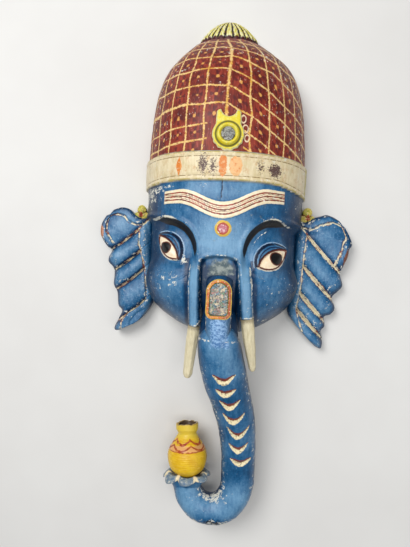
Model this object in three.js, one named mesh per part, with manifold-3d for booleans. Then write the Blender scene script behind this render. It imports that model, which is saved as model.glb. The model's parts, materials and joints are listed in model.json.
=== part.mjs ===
// A carved and painted wooden elephant-headed mask with a tall crown, lying on its back.
// The head is one hollow block; the ears, the trunk, the tusks, the turned pot that the trunk holds
// and the two small mirrors are pieces of their own, set against it or into it.
// Millimetres. +X is to the mask's left as a wearer has it (the viewer's right), +Y runs up to the crown,
// and +Z is the way the face looks. While it is carved, x = 0 is the middle line, y = 0 the root of the
// nose and z = 0 the flat back rim. At the end the whole is moved so that the origin is below its middle.

import * as THREE from "three";
import { mergeVertices } from "three/addons/utils/BufferGeometryUtils.js";
import Module from "manifold-3d";

const wasm = await Module();
wasm.setup();

// Driving dimensions

const FIT_GAP = 0.3; // between a piece and what it is seated against

// Head: the outline seen from the front, and how far the section stands forward of the rim.
const FACE_HALF_WIDTH = 119;
const FACE_DEPTH = 120;
const JAW_Y = 2; // where the cheeks start to round in to the chin
const CHIN_DROP = 92; // from there to the foot of the chin
const CROWN_HALF_WIDTH = 120;
const CROWN_DEPTH = 130;
const CROWN_LOW_Y = 125; // the lower edge of the brow band
const CROWN_HEIGHT = 225; // from there to the foot of the finial
const SECTION_FULLNESS = 2.25; // 2 is an ellipse, more is squarer
const RIM_FADE = 22; // the carving dies out over this height above the rim

// Hollow back.
const WALL = 19;
const FRONT_WALL = 24; // behind the face, where the sockets are cut

// Band round the brow.
const BAND_HEIGHT = 38;
const BAND_RISE = 3.6;
const BAND_EDGE = 3;

// Fluted finial.
const FINIAL_X = -5; // it leans a little to one side
const FINIAL_HALF_WIDTH = 48;
const FINIAL_DEPTH = 52;
const FINIAL_HEIGHT = 36;
const FINIAL_TILT = 10; // its foot is this much higher at the sides than in front
const FINIAL_FLUTES = 15;
const FINIAL_FLUTE_DEPTH = 2.2;
const FINIAL_GROOVE = 3.5;

// Jewel on the crown, with its ring and mirror.
const JEWEL_X = 2;
const JEWEL_Y = 185;
const JEWEL_RADIUS = 21;
const JEWEL_RISE = 3.5;
const JEWEL_HORN_Y = 33; // horn tips above the centre
const JEWEL_HORN_X = 13;
const JEWEL_HORN_FOOT = 8; // half-widths of a horn
const JEWEL_HORN_TIP = 3.5;
const RING_RADIUS = 14.5;
const RING_RISE = 4;
const MIRROR_RADIUS = 9.2;
const MIRROR_THICKNESS = 2;

// Brows: each line is a quarter turn that starts beside the nose and runs out level to the temple.
const BROW_CENTRE_X = 78;
const BROW_CENTRE_Y = 28;
const BROW_RADII = { left: 42, right: 46.3 };
const BROW_OUTER_LIFT = { left: 0.14, right: -0.12 }; // per millimetre beyond its highest part
const BROW_LIFT_FROM = 66;
const BROW_EDGE = 6; // from the brow's line to its upper edge
const BROW_RISE = 1.8;
const SOCKET_DEPTH = 7;
const SOCKET_LENGTH = 46; // the socket dies out over this much below the brow's centre

// Eyes: the corners of each, and how far its lids arch away from the line between them.
const EYES = {
  left: { outer: [-87, 50], inner: [-58.5, 18.8], upper: 7.3, lower: 11.3 },
  right: { outer: [88.5, 36.5], inner: [51.8, 13.2], upper: 8.2, lower: 12.3 },
};
const LID_GROWTH = 10; // the lid's mound reaches this far beyond the eye
const LID_RISE = 7.5;

// Cheeks.
const CHEEK_X = 82;
const CHEEK_Y = -14;
const CHEEK_RADIUS = 46;
const CHEEK_RISE = 6;

// Painted and carved marks of the forehead.
const TILAK_Y = 86;
const TILAK_RISE_AT_ENDS = 20;
const TILAK_WAVE = 62; // from its low middle to its high ends
const TILAK_HALF_WIDTH = 83;
const TILAK_HALF_HEIGHT = 10;
const TILAK_RISE = 1.3;
const BINDI_Y = 61.5;
const BINDI_RADIUS = 11;
const BINDI_RISE = 1.6;

// Tusk sheaths each side of the trunk, and the arched recess between them.
const SHEATHS = {
  left: { sign: -1, topX: 36.5, footX: 32.5, footY: -72, halfWidth: 8.3 },
  right: { sign: 1, topX: 31, footX: 39.3, footY: -59, halfWidth: 9 },
};
const SHEATH_TOP_Y = 26;
const SHEATH_FADE = 24; // length over which its top runs into the face
const SHEATH_FRONT = 9; // in front of the face at the top
const SHEATH_FOOT_Z = 118; // front of the sheath at its foot
const SHEATH_CROWN = 1.4; // its front is higher along the middle
const ARCH_X = -1.5;
const ARCH_HALF_WIDTH = 27.5;
const ARCH_TOP_Y = 24.5;
const ARCH_ROUND = 21.5; // from its top down to where its sides are straight
const ARCH_SQUARENESS = 3;
const ARCH_DEPTH = 8;

// Tusks: radii at the sheath and near the tip, and outward travel over the length that shows.
const TUSKS = {
  left: { radius: 7.9, tipRadius: 6.2, splay: 7 },
  right: { radius: 8.9, tipRadius: 4.9, splay: 12 },
};
const TUSK_LENGTH = 75; // what shows
const TUSK_TIP_LENGTH = 7; // the blunt end
const TUSK_PEG = 12; // what is in the socket
const TUSK_PEG_RADIUS = 4.2;
const TUSK_DROP = 12; // travel towards the back over the length that shows

// Trunk: a narrow ridge comes out of the arch, and the full trunk starts below it with a ledge.
const RIDGE_TOP_Y = 11;
const RIDGE_HALF_WIDTH = 17.5;
const RIDGE_FRONT = 30; // in front of the face
const RIDGE_HALF_DEPTH = 24;
const LEDGE_Y = -86;
const TRUNK_HALF_WIDTH = 30.5;
const TRUNK_HALF_DEPTH = 26;
const TRUNK_END_RADIUS = 20;
const TRUNK_BEND_X = 1; // centre of the hook
const TRUNK_BEND_Y = -306;
const TRUNK_BEND_HALF_WIDTH = 38;
const TRUNK_BEND_HALF_HEIGHT = 45;
const TRUNK_BEND_TURN = 172; // degrees
const TRUNK_BEND_Z = 48;
const LIP_RADIUS = 31.5;
const LIP_LENGTH = 15;
const LIP_CUP_DEPTH = 3.5;
const LIP_PETALS = 7;
const LIP_PETAL_DEPTH = 2.4;
const LIP_FLATTENING = 0.86;
const TABLET_X = 0.5;
const TABLET_Y = -32; // centre of the mirror tablet on the trunk
const TABLET_HALF_WIDTH = 16.7;
const TABLET_HALF_LENGTH = 26;
const TABLET_BORDER = 5;
const TABLET_RISE = 1; // the border stands this far in front of the ridge
const TABLET_SEAT = 12; // thickness of the block that carries it
const TABLET_THICKNESS = 2;

// Pot.
const POT_RADIUS = 29;
const POT_HEIGHT = 77;
const POT_FOOT_RADIUS = 11;
const POT_NECK_RADIUS = 14;
const POT_MOUTH_RADIUS = 16.4;
const POT_MOUTH_DEPTH = 6;
const POT_RIM = 3.5;
const POT_TILT = 3; // degrees
const POT_OFFSET_X = 1; // from the middle of the cup
const POT_OFFSET_Z = 5;
const POT_TURN_SIDES = 18;
// Shares of the pot's height with shares of its radius, between the foot and the neck.
const POT_BODY = [
  [0.04, 0.58],
  [0.13, 0.83],
  [0.26, 0.97],
  [0.4, 1],
  [0.54, 0.9],
  [0.68, 0.65],
];
const POT_NECK = [0.77, 0.81, 0.87]; // shares of the height: neck, its top, underside of the rim

// Ears. A flute runs down and outwards, so places on an ear are given by how far out from the head's
// side they are, and by the height at which their flute's line would meet that side.
const EAR_BACK_Z = 9;
const EAR_THICKNESS = 13; // in the grooves
const EAR_FLUTE_RISE = 9;
const EAR_TOP_FLATNESS = 0.6; // of the flutes' rise, above the top groove
const EAR_RIM_WIDTH = 8;
const EAR_RIM_RISE = 3;
const EAR_ROLL_RISE = 6; // the roll beside the head
const EAR_SEAM_DEPTH = 1.6;
const EARS = {
  left: {
    slope: 0.85, // drop of a flute for each millimetre outwards
    sag: 4,
    grooves: [-44.5, 7.5, 41, 78],
    // [height, distance out] of the seam beside the head
    seam: [
      [-80, 33],
      [-68, 24],
      [-54, 5],
      [-42, -4],
      [-7, -1],
      [20, 4],
      [40, 10],
      [60, 11],
      [80, 20],
      [100, 30],
    ],
    // [line, inner end, outer end] from the foot to the top
    edges: [
      [-68, -6, 22],
      [-63, -12, 38],
      [-54, -15, 45],
      [-43, -15, 39],
      [-36, -13, 34],
      [-22, -11, 40],
      [0, -9, 43],
      [18, -8, 49],
      [33, -8, 49],
      [46, -8, 51],
      [62, -8, 59],
      [70, -8, 59],
      [76, -8, 55],
      [88, 8, 61],
      [104, 20, 68],
      [117, 27, 72],
      [132, 41, 71],
      [139, 54, 65],
    ],
  },
  right: {
    slope: 1.08,
    sag: 2,
    grooves: [-48, -19, 26, 78],
    seam: [
      [-80, 8],
      [-60, 1],
      [-43, -2],
      [-24, 2],
      [20, 5],
      [45, 7],
      [63, 9],
      [80, 17],
      [100, 30],
    ],
    edges: [
      [-71, -12, 31],
      [-66, -14, 38],
      [-57, -14, 41],
      [-48, -14, 41],
      [-39, -13, 38],
      [-24, -11, 44],
      [-13, -10, 42],
      [3, -8, 52],
      [20, -8, 58],
      [29, -8, 53],
      [46, -8, 60],
      [66, -8, 68],
      [79, -8, 63],
      [92, 6, 66],
      [113, 19, 72],
      [127, 29, 74],
      [139, 38, 78],
      [147, 48, 74],
      [152.5, 58, 67],
    ],
  },
};
const EAR_ROW = 9.5;
// The sprigs where the ears' tops meet the head: distance out from its side, height, radius.
const SPRIGS = {
  left: { out: 10, y: 87, radius: 9.5 },
  right: { out: 9, y: 92, radius: 10 },
};
const LEAF_RISE = 5;
const LEAF_LOBES = 0.28; // depth of the leaves' outline, as a share of the radius

// Let in and cut.
const TABLET_POCKET = 3.3; // depth of the long mirror's seat
const TABLET_CORNER = 4;
const HOLLOW_ROUNDING = 46; // length over which the hollow's upper end closes
const CHIN_ROUNDING = 18; // length over which the chin closes
const CUT_PAST = 5; // a cut runs on this far past the surface

// Fineness of the faceted solids.
const FRONT_COLUMNS = 12; // from the middle line to where the side turns back
const SIDE_COLUMNS = 4; // from there to the rim
const FRONT_SHARE = 0.8; // of the half-width
const FACE_ROW = 7.1;
const CROWN_ROW = 13;
const END_ROWS = 5;
const HOLLOW_ROWS = 18;
const HOLLOW_COLUMNS = 14;
const RIDGE_ROWS = 9;
const RIDGE_SIDES = 14;
const TRUNK_ROWS = 23;
const TRUNK_SIDES = 14;
const BEND_STEPS = 7;
const TUSK_ROWS = 6;
const TUSK_SIDES = 12;
const MIRROR_SIDES = 24;
const TABLET_SEGMENTS = 5;
const LEAF_SIDES = 18;

// Small helpers

const clamp = (v, low, high) => Math.min(high, Math.max(low, v));
const mix = (a, b, t) => a + (b - a) * t;

function smooth(from, to, v) {
  const t = clamp((v - from) / (to - from), 0, 1);
  return t * t * (3 - 2 * t);
}

// A rounded bump: 1 at the centre, 0 from distance 1 on.
const bump = (d) => (Math.abs(d) < 1 ? (1 - d * d) ** 2 : 0);

// A smooth curve through rows of [station, value, value, ...], read at one station.
function along(rows, at) {
  const last = rows.length - 1;
  const v = clamp(at, rows[0][0], rows[last][0]);
  let i = 0;
  while (i < last - 1 && v > rows[i + 1][0]) i++;
  const [a, b] = [rows[i], rows[i + 1]];
  const span = b[0] - a[0];
  const t = (v - a[0]) / span;
  const slope = (k, column) => {
    const [p, q] = [rows[Math.max(0, k - 1)], rows[Math.min(last, k + 1)]];
    return (q[column] - p[column]) / (q[0] - p[0]);
  };
  return a.slice(1).map((value, n) => {
    const column = n + 1;
    const [m0, m1] = [slope(i, column) * span, slope(i + 1, column) * span];
    const [t2, t3] = [t * t, t * t * t];
    return (
      (2 * t3 - 3 * t2 + 1) * value +
      (t3 - 2 * t2 + t) * m0 +
      (-2 * t3 + 3 * t2) * b[column] +
      (t3 - t2) * m1
    );
  });
}

// Solids

// A closed solid through rings of as many points each, with both ends fanned to the ring's middle.
function loft(rings) {
  const sides = rings[0].length;
  const points = rings.flat();
  const faces = [];
  for (let i = 0; i + 1 < rings.length; i++)
    for (let j = 0; j < sides; j++) {
      const [a, b] = [i * sides + j, i * sides + ((j + 1) % sides)];
      const [c, d] = [a + sides, b + sides];
      faces.push(a, b, d, a, d, c);
    }
  for (const [ring, first, turned] of [
    [rings[0], 0, true],
    [rings[rings.length - 1], (rings.length - 1) * sides, false],
  ]) {
    const middle = new THREE.Vector3();
    ring.forEach((p) => middle.addScaledVector(p, 1 / sides));
    points.push(middle);
    const hub = points.length - 1;
    for (let j = 0; j < sides; j++) {
      const [a, b] = [first + j, first + ((j + 1) % sides)];
      faces.push(...(turned ? [b, a, hub] : [a, b, hub]));
    }
  }
  const geometry = new THREE.BufferGeometry().setFromPoints(points);
  geometry.setIndex(faces);
  return solidOf(geometry);
}

function solidOf(geometry) {
  const bare = geometry.clone();
  bare.deleteAttribute("normal");
  bare.deleteAttribute("uv");
  const merged = mergeVertices(bare, 1e-3);
  const triVerts = new Uint32Array(merged.index.array);
  const make = () =>
    new wasm.Manifold(
      new wasm.Mesh({ numProp: 3, vertProperties: merged.attributes.position.array, triVerts }),
    );
  const solid = make();
  if (solid.volume() > 0) return solid;
  for (let i = 0; i < triVerts.length; i += 3)
    [triVerts[i], triVerts[i + 1]] = [triVerts[i + 1], triVerts[i]];
  return make();
}

function geometryOf(solid) {
  const { numProp, numVert, vertProperties, triVerts } = solid.getMesh();
  const positions = new Float32Array(numVert * 3);
  for (let i = 0; i < numVert; i++)
    positions.set(vertProperties.subarray(i * numProp, i * numProp + 3), i * 3);
  const indexed = new THREE.BufferGeometry();
  indexed.setAttribute("position", new THREE.BufferAttribute(positions, 3));
  indexed.setIndex(new THREE.BufferAttribute(new Uint32Array(triVerts), 1));
  const flat = indexed.toNonIndexed();
  flat.computeVertexNormals();
  return flat;
}

// Head

const CROWN_TOP_Y = CROWN_LOW_Y + CROWN_HEIGHT;
const BAND_TOP_Y = CROWN_LOW_Y + BAND_HEIGHT;
const FINIAL_TOP_Y = CROWN_TOP_Y + FINIAL_HEIGHT;
const CHIN_Y = JAW_Y - CHIN_DROP;
const LEAN_LENGTH = 40; // below the finial, the crown bends over to it

// Shares of the crown's height, half-width and depth, from the band to the finial.
const CROWN_SHAPE = [
  [0, 1, 0.97],
  [0.17, 1.005, 1],
  [0.39, 0.99, 1.01],
  [0.57, 0.95, 0.97],
  [0.714, 0.885, 0.88],
  [0.823, 0.78, 0.77],
  [0.913, 0.62, 0.62],
  [1, 0.42, 0.44],
];

// Half-width and depth of the head's section at a height y.
function sectionAt(y) {
  if (y <= JAW_Y) {
    const t = clamp((JAW_Y - y) / CHIN_DROP, 0, 1);
    return [FACE_HALF_WIDTH * Math.sqrt(1 - t * t), FACE_DEPTH * Math.cbrt(1 - t ** 3)];
  }
  if (y < CROWN_LOW_Y) {
    const t = smooth(JAW_Y, CROWN_LOW_Y, y);
    const [share, depthShare] = along(CROWN_SHAPE, 0);
    return [
      mix(FACE_HALF_WIDTH, CROWN_HALF_WIDTH * share, t),
      mix(FACE_DEPTH, CROWN_DEPTH * depthShare, t),
    ];
  }
  if (y <= CROWN_TOP_Y) {
    const [w, d] = along(CROWN_SHAPE, (y - CROWN_LOW_Y) / CROWN_HEIGHT);
    return [CROWN_HALF_WIDTH * w, CROWN_DEPTH * d];
  }
  const t = clamp((y - CROWN_TOP_Y) / FINIAL_HEIGHT, 0, 1);
  const round = (1 - t ** 1.35) ** 0.65;
  return [FINIAL_HALF_WIDTH * round, FINIAL_DEPTH * round];
}

// The crown's top bends over to the finial: sideways, and up at the sides.
const bendAt = (y) => smooth(CROWN_TOP_Y - LEAN_LENGTH, CROWN_TOP_Y, y);
const leanAt = (y) => FINIAL_X * bendAt(y);
const liftAt = (y, z) => FINIAL_TILT * bendAt(y) * (1 - Math.min(1, z / FINIAL_DEPTH));

// A point of the smooth head; turn runs from -1 at one side of the rim to 1 at the other.
function smoothPoint(y, turn) {
  const [halfWidth, depth] = sectionAt(y);
  const angle = (turn * Math.PI) / 2;
  const power = 2 / SECTION_FULLNESS;
  const across = Math.abs(Math.sin(angle)) ** power * Math.sign(turn);
  const forward = Math.abs(turn) >= 1 ? 0 : Math.cos(angle) ** power;
  const z = depth * forward;
  return new THREE.Vector3(leanAt(y) + halfWidth * across, y + liftAt(y, z), z);
}

// The turn at which the smooth head is so far from its middle line.
function turnAt(x, y) {
  const share = clamp(Math.abs(x) / sectionAt(y)[0], 0, 1);
  return (Math.asin(share ** (SECTION_FULLNESS / 2)) * 2 * Math.sign(x)) / Math.PI;
}

// How far forward the smooth head stands at x, y.
function faceZ(x, y) {
  const [halfWidth, depth] = sectionAt(y);
  const t = clamp(Math.abs(x) / halfWidth, 0, 1);
  return depth * (1 - t ** SECTION_FULLNESS) ** (1 / SECTION_FULLNESS);
}

const sideOf = (x) => (x < 0 ? "left" : "right");

// Signed distance to the brow's line, above it positive.
function browDistance(x, y) {
  const side = Math.abs(x);
  const radius = BROW_RADII[sideOf(x)];
  const lift = BROW_OUTER_LIFT[sideOf(x)] * Math.max(0, side - BROW_LIFT_FROM);
  const above = y - lift - BROW_CENTRE_Y;
  if (side > BROW_CENTRE_X) return above - radius;
  return Math.hypot(side - BROW_CENTRE_X, Math.max(0, above)) - radius;
}

// Signed distance to the almond between two arcs through the eye's corners, grown by a width.
function eyeDistance(x, y, growth) {
  const { outer, inner, upper, lower } = EYES[sideOf(x)];
  const corner = new THREE.Vector2(...outer);
  const middle = corner.clone().add(new THREE.Vector2(...inner)).multiplyScalar(0.5);
  const half = corner.distanceTo(middle) + growth * 0.35;
  const axis = corner.sub(middle).normalize();
  const up = new THREE.Vector2(-axis.y, axis.x).multiplyScalar(Math.sign(axis.x));
  const p = new THREE.Vector2(x, y).sub(middle);
  const [a, b] = [p.dot(axis), p.dot(up)];
  const rise = upper + growth;
  const upperRadius = (half * half + rise * rise) / (2 * rise);
  const lowerRadius = (half * half + lower * lower) / (2 * lower);
  return Math.max(
    Math.hypot(a, b - rise + upperRadius) - upperRadius,
    Math.hypot(a, b + lower - lowerRadius) - lowerRadius,
  );
}

// A ridge over the brow, the socket below it, and the lids' mound in the socket.
function eyeRelief(x, y) {
  const d = browDistance(x, y);
  const inner = smooth(BROW_CENTRE_Y - 24, BROW_CENTRE_Y + 6, y);
  const ridge = BROW_RISE * bump((d - BROW_EDGE) / BROW_EDGE) * inner;
  const fade = smooth(BROW_CENTRE_Y - SOCKET_LENGTH, BROW_CENTRE_Y - 4, y);
  const socket = -SOCKET_DEPTH * smooth(BROW_EDGE, -BROW_EDGE, d) * fade;
  const lid = eyeDistance(x, y, LID_GROWTH);
  const mound = LID_RISE * smooth(17, -4, lid) * smooth(24, 4, eyeDistance(x, y, 0));
  return ridge + socket + mound;
}

function cheekRelief(side, y) {
  const d = Math.hypot(side - CHEEK_X, (y - CHEEK_Y) * 0.9) / CHEEK_RADIUS;
  return CHEEK_RISE * bump(d);
}

// Sideways place of a sheath's middle line at a height y.
function sheathMiddle({ sign, topX, footX, footY }, y) {
  return sign * mix(topX, footX, (SHEATH_TOP_Y - y) / (SHEATH_TOP_Y - footY));
}

// The ridge that holds a tusk: it stands forward of the face, more so towards its foot.
function sheathRelief(x, y) {
  const sheath = SHEATHS[sideOf(x)];
  const { topX, footY, halfWidth } = sheath;
  const middle = sheathMiddle(sheath, y);
  const off = Math.abs(x - middle);
  const profile = 1 - smooth(halfWidth * 0.82, halfWidth * 1.12, off);
  const length = smooth(SHEATH_TOP_Y + 2, SHEATH_TOP_Y - SHEATH_FADE, y) * smooth(footY - 1.5, footY, y);
  const down = clamp((SHEATH_TOP_Y - y) / (SHEATH_TOP_Y - footY), 0, 1);
  const front = mix(faceZ(topX, SHEATH_TOP_Y) + SHEATH_FRONT, SHEATH_FOOT_Z, down);
  const crown = -SHEATH_CROWN * (off / halfWidth) ** 2;
  return Math.max(0, front + crown - faceZ(middle, y)) * profile * length;
}

// The arched recess between the sheaths.
function archRelief(x, y) {
  const straight = ARCH_TOP_Y - ARCH_ROUND;
  const across = Math.abs(x - ARCH_X) / ARCH_HALF_WIDTH;
  const up = Math.max(0, y - straight) / ARCH_ROUND;
  const n = ARCH_SQUARENESS;
  const d = ((across ** n + up ** n) ** (1 / n) - 1) * ARCH_HALF_WIDTH;
  return -ARCH_DEPTH * smooth(0.6, -3.5, d) * smooth(CHIN_Y, CHIN_Y + 20, y);
}

function foreheadRelief(x, y) {
  const side = Math.abs(x);
  const wave = (1 - Math.cos(Math.PI * clamp(side / TILAK_WAVE, 0, 1))) / 2;
  const middle = TILAK_Y + TILAK_RISE_AT_ENDS * wave;
  const tilak =
    TILAK_RISE *
    smooth(TILAK_HALF_HEIGHT + 2, TILAK_HALF_HEIGHT - 2, Math.abs(y - middle)) *
    smooth(TILAK_HALF_WIDTH + 2, TILAK_HALF_WIDTH - 2, side);
  const bindi = BINDI_RISE * smooth(BINDI_RADIUS + 1, BINDI_RADIUS - 3, Math.hypot(x, y - BINDI_Y));
  return Math.max(tilak, bindi);
}

// The jewel is a round plaque with two horns, and a ring round its mirror.
function jewelRelief(x, y) {
  const [dx, dy] = [x - JEWEL_X, y - JEWEL_Y];
  const round = Math.hypot(dx, dy) - JEWEL_RADIUS;
  const lean = clamp(dy / JEWEL_HORN_Y, 0, 1);
  const horn = Math.abs(Math.abs(dx) - JEWEL_HORN_X) - mix(JEWEL_HORN_FOOT, JEWEL_HORN_TIP, lean);
  const inHorn = dy > 0 && dy < JEWEL_HORN_Y ? horn : Infinity;
  const plaque = JEWEL_RISE * smooth(1.5, -2, Math.min(round, inHorn));
  const ringMiddle = (RING_RADIUS + MIRROR_RADIUS) / 2;
  const ringHalf = (RING_RADIUS - MIRROR_RADIUS) / 2;
  const ring = RING_RISE * bump((Math.hypot(dx, dy) - ringMiddle) / (ringHalf * 1.6));
  return plaque + ring;
}

function finialRelief(y, turn) {
  const flutes = FINIAL_FLUTE_DEPTH * (Math.abs(Math.cos(turn * FINIAL_FLUTES * (Math.PI / 2))) - 0.5);
  const groove = -FINIAL_GROOVE * bump((y - CROWN_TOP_Y) / 5);
  const ends = smooth(CROWN_TOP_Y, CROWN_TOP_Y + 4, y) * smooth(FINIAL_TOP_Y, FINIAL_TOP_Y - 14, y);
  return flutes * ends + groove;
}

// All the carving, as height above the smooth head.
function relief(x, y, turn) {
  const band =
    BAND_RISE *
    smooth(CROWN_LOW_Y - BAND_EDGE / 2, CROWN_LOW_Y + BAND_EDGE / 2, y) *
    smooth(BAND_TOP_Y + BAND_EDGE / 2, BAND_TOP_Y - BAND_EDGE / 2, y);
  if (y > BAND_TOP_Y) return band + jewelRelief(x, y) + finialRelief(y, turn);
  return band + foreheadRelief(x, y) + eyeRelief(x, y) + cheekRelief(Math.abs(x), y) + archRelief(x, y);
}

// A point of the carved head, moved out by a further distance.
function carvedPoint(y, turn, out) {
  const p = smoothPoint(y, turn);
  const step = 0.01;
  const left = smoothPoint(y, Math.max(-1, turn - step));
  const right = smoothPoint(y, Math.min(1, turn + step));
  const [low, high] = [smoothPoint(y - 1, turn), smoothPoint(y + 1, turn)];
  const normal = right.sub(left).cross(high.sub(low));
  if (normal.lengthSq() < 1e-9) normal.set(0, Math.sign(y), 0);
  normal.normalize();
  const fade = smooth(0, RIM_FADE, p.z);
  const height = relief(p.x, y, turn) * fade + out;
  const forward = y < BAND_TOP_Y ? sheathRelief(p.x, y) : 0;
  p.x += normal.x * height;
  p.y += normal.y * height;
  p.z += normal.z * height + forward;
  return p;
}

// Heights of the head's rows: close on the face, at the band's edges, at the sheaths' feet and where
// the ends round in.
function headRows() {
  const rows = [CHIN_Y + 0.6];
  for (let i = 2; i <= END_ROWS; i++) {
    const rounding = 1 - Math.cos((i / END_ROWS) * (Math.PI / 2));
    rows.push(CHIN_Y + CHIN_ROUNDING * rounding);
  }
  const add = (from, to, step) => {
    const count = Math.max(1, Math.round((to - from) / step));
    for (let i = 1; i <= count; i++) rows.push(mix(from, to, i / count));
  };
  const { left, right } = SHEATHS;
  add(left.footY, right.footY - 1.5, FACE_ROW);
  add(right.footY, CROWN_LOW_Y - BAND_EDGE / 2, FACE_ROW);
  rows.push(left.footY - 1.5, left.footY, right.footY, CROWN_LOW_Y + BAND_EDGE / 2);
  add(CROWN_LOW_Y + BAND_EDGE / 2, BAND_TOP_Y - BAND_EDGE / 2, 2 * CROWN_ROW);
  rows.push(BAND_TOP_Y + BAND_EDGE / 2);
  const jewelTop = JEWEL_Y + JEWEL_HORN_Y;
  add(BAND_TOP_Y + BAND_EDGE / 2, jewelTop, FACE_ROW * 1.2);
  add(jewelTop, CROWN_TOP_Y - 4, CROWN_ROW);
  rows.push(CROWN_TOP_Y, CROWN_TOP_Y + 4);
  for (let i = 1; i <= END_ROWS; i++) {
    const rounding = Math.sin((i / END_ROWS) * (Math.PI / 2));
    rows.push(mix(CROWN_TOP_Y + 4, FINIAL_TOP_Y - 0.4, rounding));
  }
  return rows.sort((a, b) => a - b).filter((y, i, all) => i === 0 || y - all[i - 1] > 1);
}

// Places of the columns on one side of a row, as turns. On the face they follow the sheath's edges,
// and on the crown they are even.
function sideColumns(sheath, y) {
  const front = FRONT_SHARE * sectionAt(y)[0];
  const middle = Math.abs(sheathMiddle(sheath, y));
  const { halfWidth } = sheath;
  const inner = middle - 1.12 * halfWidth;
  const outer = middle + 1.12 * halfWidth;
  const onSheath = [inner, middle - 0.8 * halfWidth, middle, middle + 0.8 * halfWidth, outer];
  const rest = FRONT_COLUMNS - onSheath.length - 2;
  const scale = Math.min(1, front / (outer + 3 * rest));
  const knots = [inner / 3, (2 * inner) / 3, ...onSheath].map((x) => x * scale);
  for (let i = 1; i <= rest; i++) knots.push(mix(outer * scale, front, i / rest));
  const onCrown = smooth(CROWN_LOW_Y - 30, BAND_TOP_Y, y);
  const half = knots.map((x, i) => turnAt(mix(x, (front * (i + 1)) / FRONT_COLUMNS, onCrown), y));
  const corner = half[half.length - 1];
  for (let i = 1; i <= SIDE_COLUMNS; i++) half.push(mix(corner, 1, i / SIDE_COLUMNS));
  return half;
}

function headColumns(y) {
  const left = sideColumns(SHEATHS.left, y).map((turn) => -turn);
  return [...left.reverse(), 0, ...sideColumns(SHEATHS.right, y)];
}

// The outer form, solid to the flat back, and grown by a distance where a neighbour is cut to fit it.
function headBlock(out = 0) {
  return loft(
    headRows().map((y) =>
      headColumns(y).map((turn) => {
        const p = carvedPoint(y, turn, out);
        p.z = Math.abs(turn) === 1 ? -out : Math.max(p.z, -out);
        return p;
      }),
    ),
  );
}

const HOLLOW_LOW_Y = CHIN_Y + WALL;
const HOLLOW_HIGH_Y = CROWN_TOP_Y - WALL;

// The hollow behind the face and the crown, open through the rim.
function hollow() {
  const rings = [];
  for (let i = 0; i <= HOLLOW_ROWS; i++) {
    const share = (1 - Math.cos(Math.PI * mix(0.05, 0.95, i / HOLLOW_ROWS))) / 2;
    const y = mix(HOLLOW_LOW_Y, HOLLOW_HIGH_Y, share);
    const [halfWidth, depth] = sectionAt(Math.max(y, JAW_Y));
    const below = clamp((JAW_Y - y) / (CHIN_DROP - WALL), 0, 1);
    const above = clamp((y - HOLLOW_HIGH_Y + HOLLOW_ROUNDING) / HOLLOW_ROUNDING, 0, 1);
    const closing = Math.sqrt(1 - below * below) * Math.sqrt(1 - above * above);
    const ring = [];
    for (let j = 0; j <= HOLLOW_COLUMNS; j++) {
      const angle = ((2 * j) / HOLLOW_COLUMNS - 1) * (Math.PI / 2);
      const x = (halfWidth - WALL) * Math.sin(angle) * closing;
      const z = (depth - FRONT_WALL) * Math.cos(angle) * closing;
      ring.push(new THREE.Vector3(leanAt(y) + x, y, z));
    }
    const below0 = -CUT_PAST;
    ring.push(ring[HOLLOW_COLUMNS].clone().setZ(below0), ring[0].clone().setZ(below0));
    rings.push(ring);
  }
  return loft(rings);
}

// Trunk

const ROOT_Z = faceZ(TABLET_X, TABLET_Y);
const TABLET_TOP_Z = ROOT_Z + RIDGE_FRONT + TABLET_RISE;

// Stations of a middle line: x, y, z, half-width, half-depth.
// The ridge comes out of the arch and runs down into the full trunk.
function ridgeStations() {
  const [wide, deep] = [RIDGE_HALF_WIDTH, RIDGE_HALF_DEPTH];
  const front = (halfDepth, back = 0) => ROOT_Z + RIDGE_FRONT - back - halfDepth;
  return [
    [0, RIDGE_TOP_Y, front(deep * 0.35, 32), wide * 0.6, deep * 0.35],
    [0, RIDGE_TOP_Y - 6, front(deep * 0.55, 20), wide * 0.85, deep * 0.55],
    [0, RIDGE_TOP_Y - 16, front(deep * 0.85, 6), wide, deep * 0.85],
    [TABLET_X, TABLET_Y, front(deep), wide, deep],
    [1, TABLET_Y - TABLET_HALF_LENGTH, front(deep), wide, deep],
    [2, LEDGE_Y, front(deep + 2), wide, deep + 2],
    [5, LEDGE_Y - 26, front(deep + 2, 8), wide * 0.9, deep + 2],
  ];
}

// The full trunk starts at the ledge, falls back from the face and ends in the hook.
function trunkStations() {
  const [wide, deep, end] = [TRUNK_HALF_WIDTH, TRUNK_HALF_DEPTH, TRUNK_END_RADIUS];
  const high = ROOT_Z + RIDGE_FRONT - deep;
  const fall = (share) => mix(high, TRUNK_BEND_Z, share);
  const bendRight = TRUNK_BEND_X + TRUNK_BEND_HALF_WIDTH;
  const stations = [
    [2, LEDGE_Y, fall(0.04), wide * 0.84, deep - 1],
    [3.5, LEDGE_Y - 8, fall(0.05), wide * 0.92, deep + 1],
    [8, -120, fall(0.18), wide, deep + 2],
    [15, -150, fall(0.35), wide, deep + 2],
    [24.5, -180, fall(0.53), wide * 0.93, deep + 1],
    [33, -215, fall(0.71), wide * 0.88, deep],
    [37.5, -250, fall(0.85), wide * 0.84, deep - 1],
    [bendRight, -280, fall(0.95), wide * 0.81, deep - 1.5],
  ];
  for (let i = 0; i <= BEND_STEPS; i++) {
    const t = i / BEND_STEPS;
    const angle = -t * THREE.MathUtils.degToRad(TRUNK_BEND_TURN);
    stations.push([
      TRUNK_BEND_X + TRUNK_BEND_HALF_WIDTH * Math.cos(angle),
      TRUNK_BEND_Y + TRUNK_BEND_HALF_HEIGHT * Math.sin(angle),
      TRUNK_BEND_Z,
      mix(wide * 0.8, end, t ** 1.4),
      mix(deep - 2, end, t ** 1.4),
    ]);
  }
  return stations;
}

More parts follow.
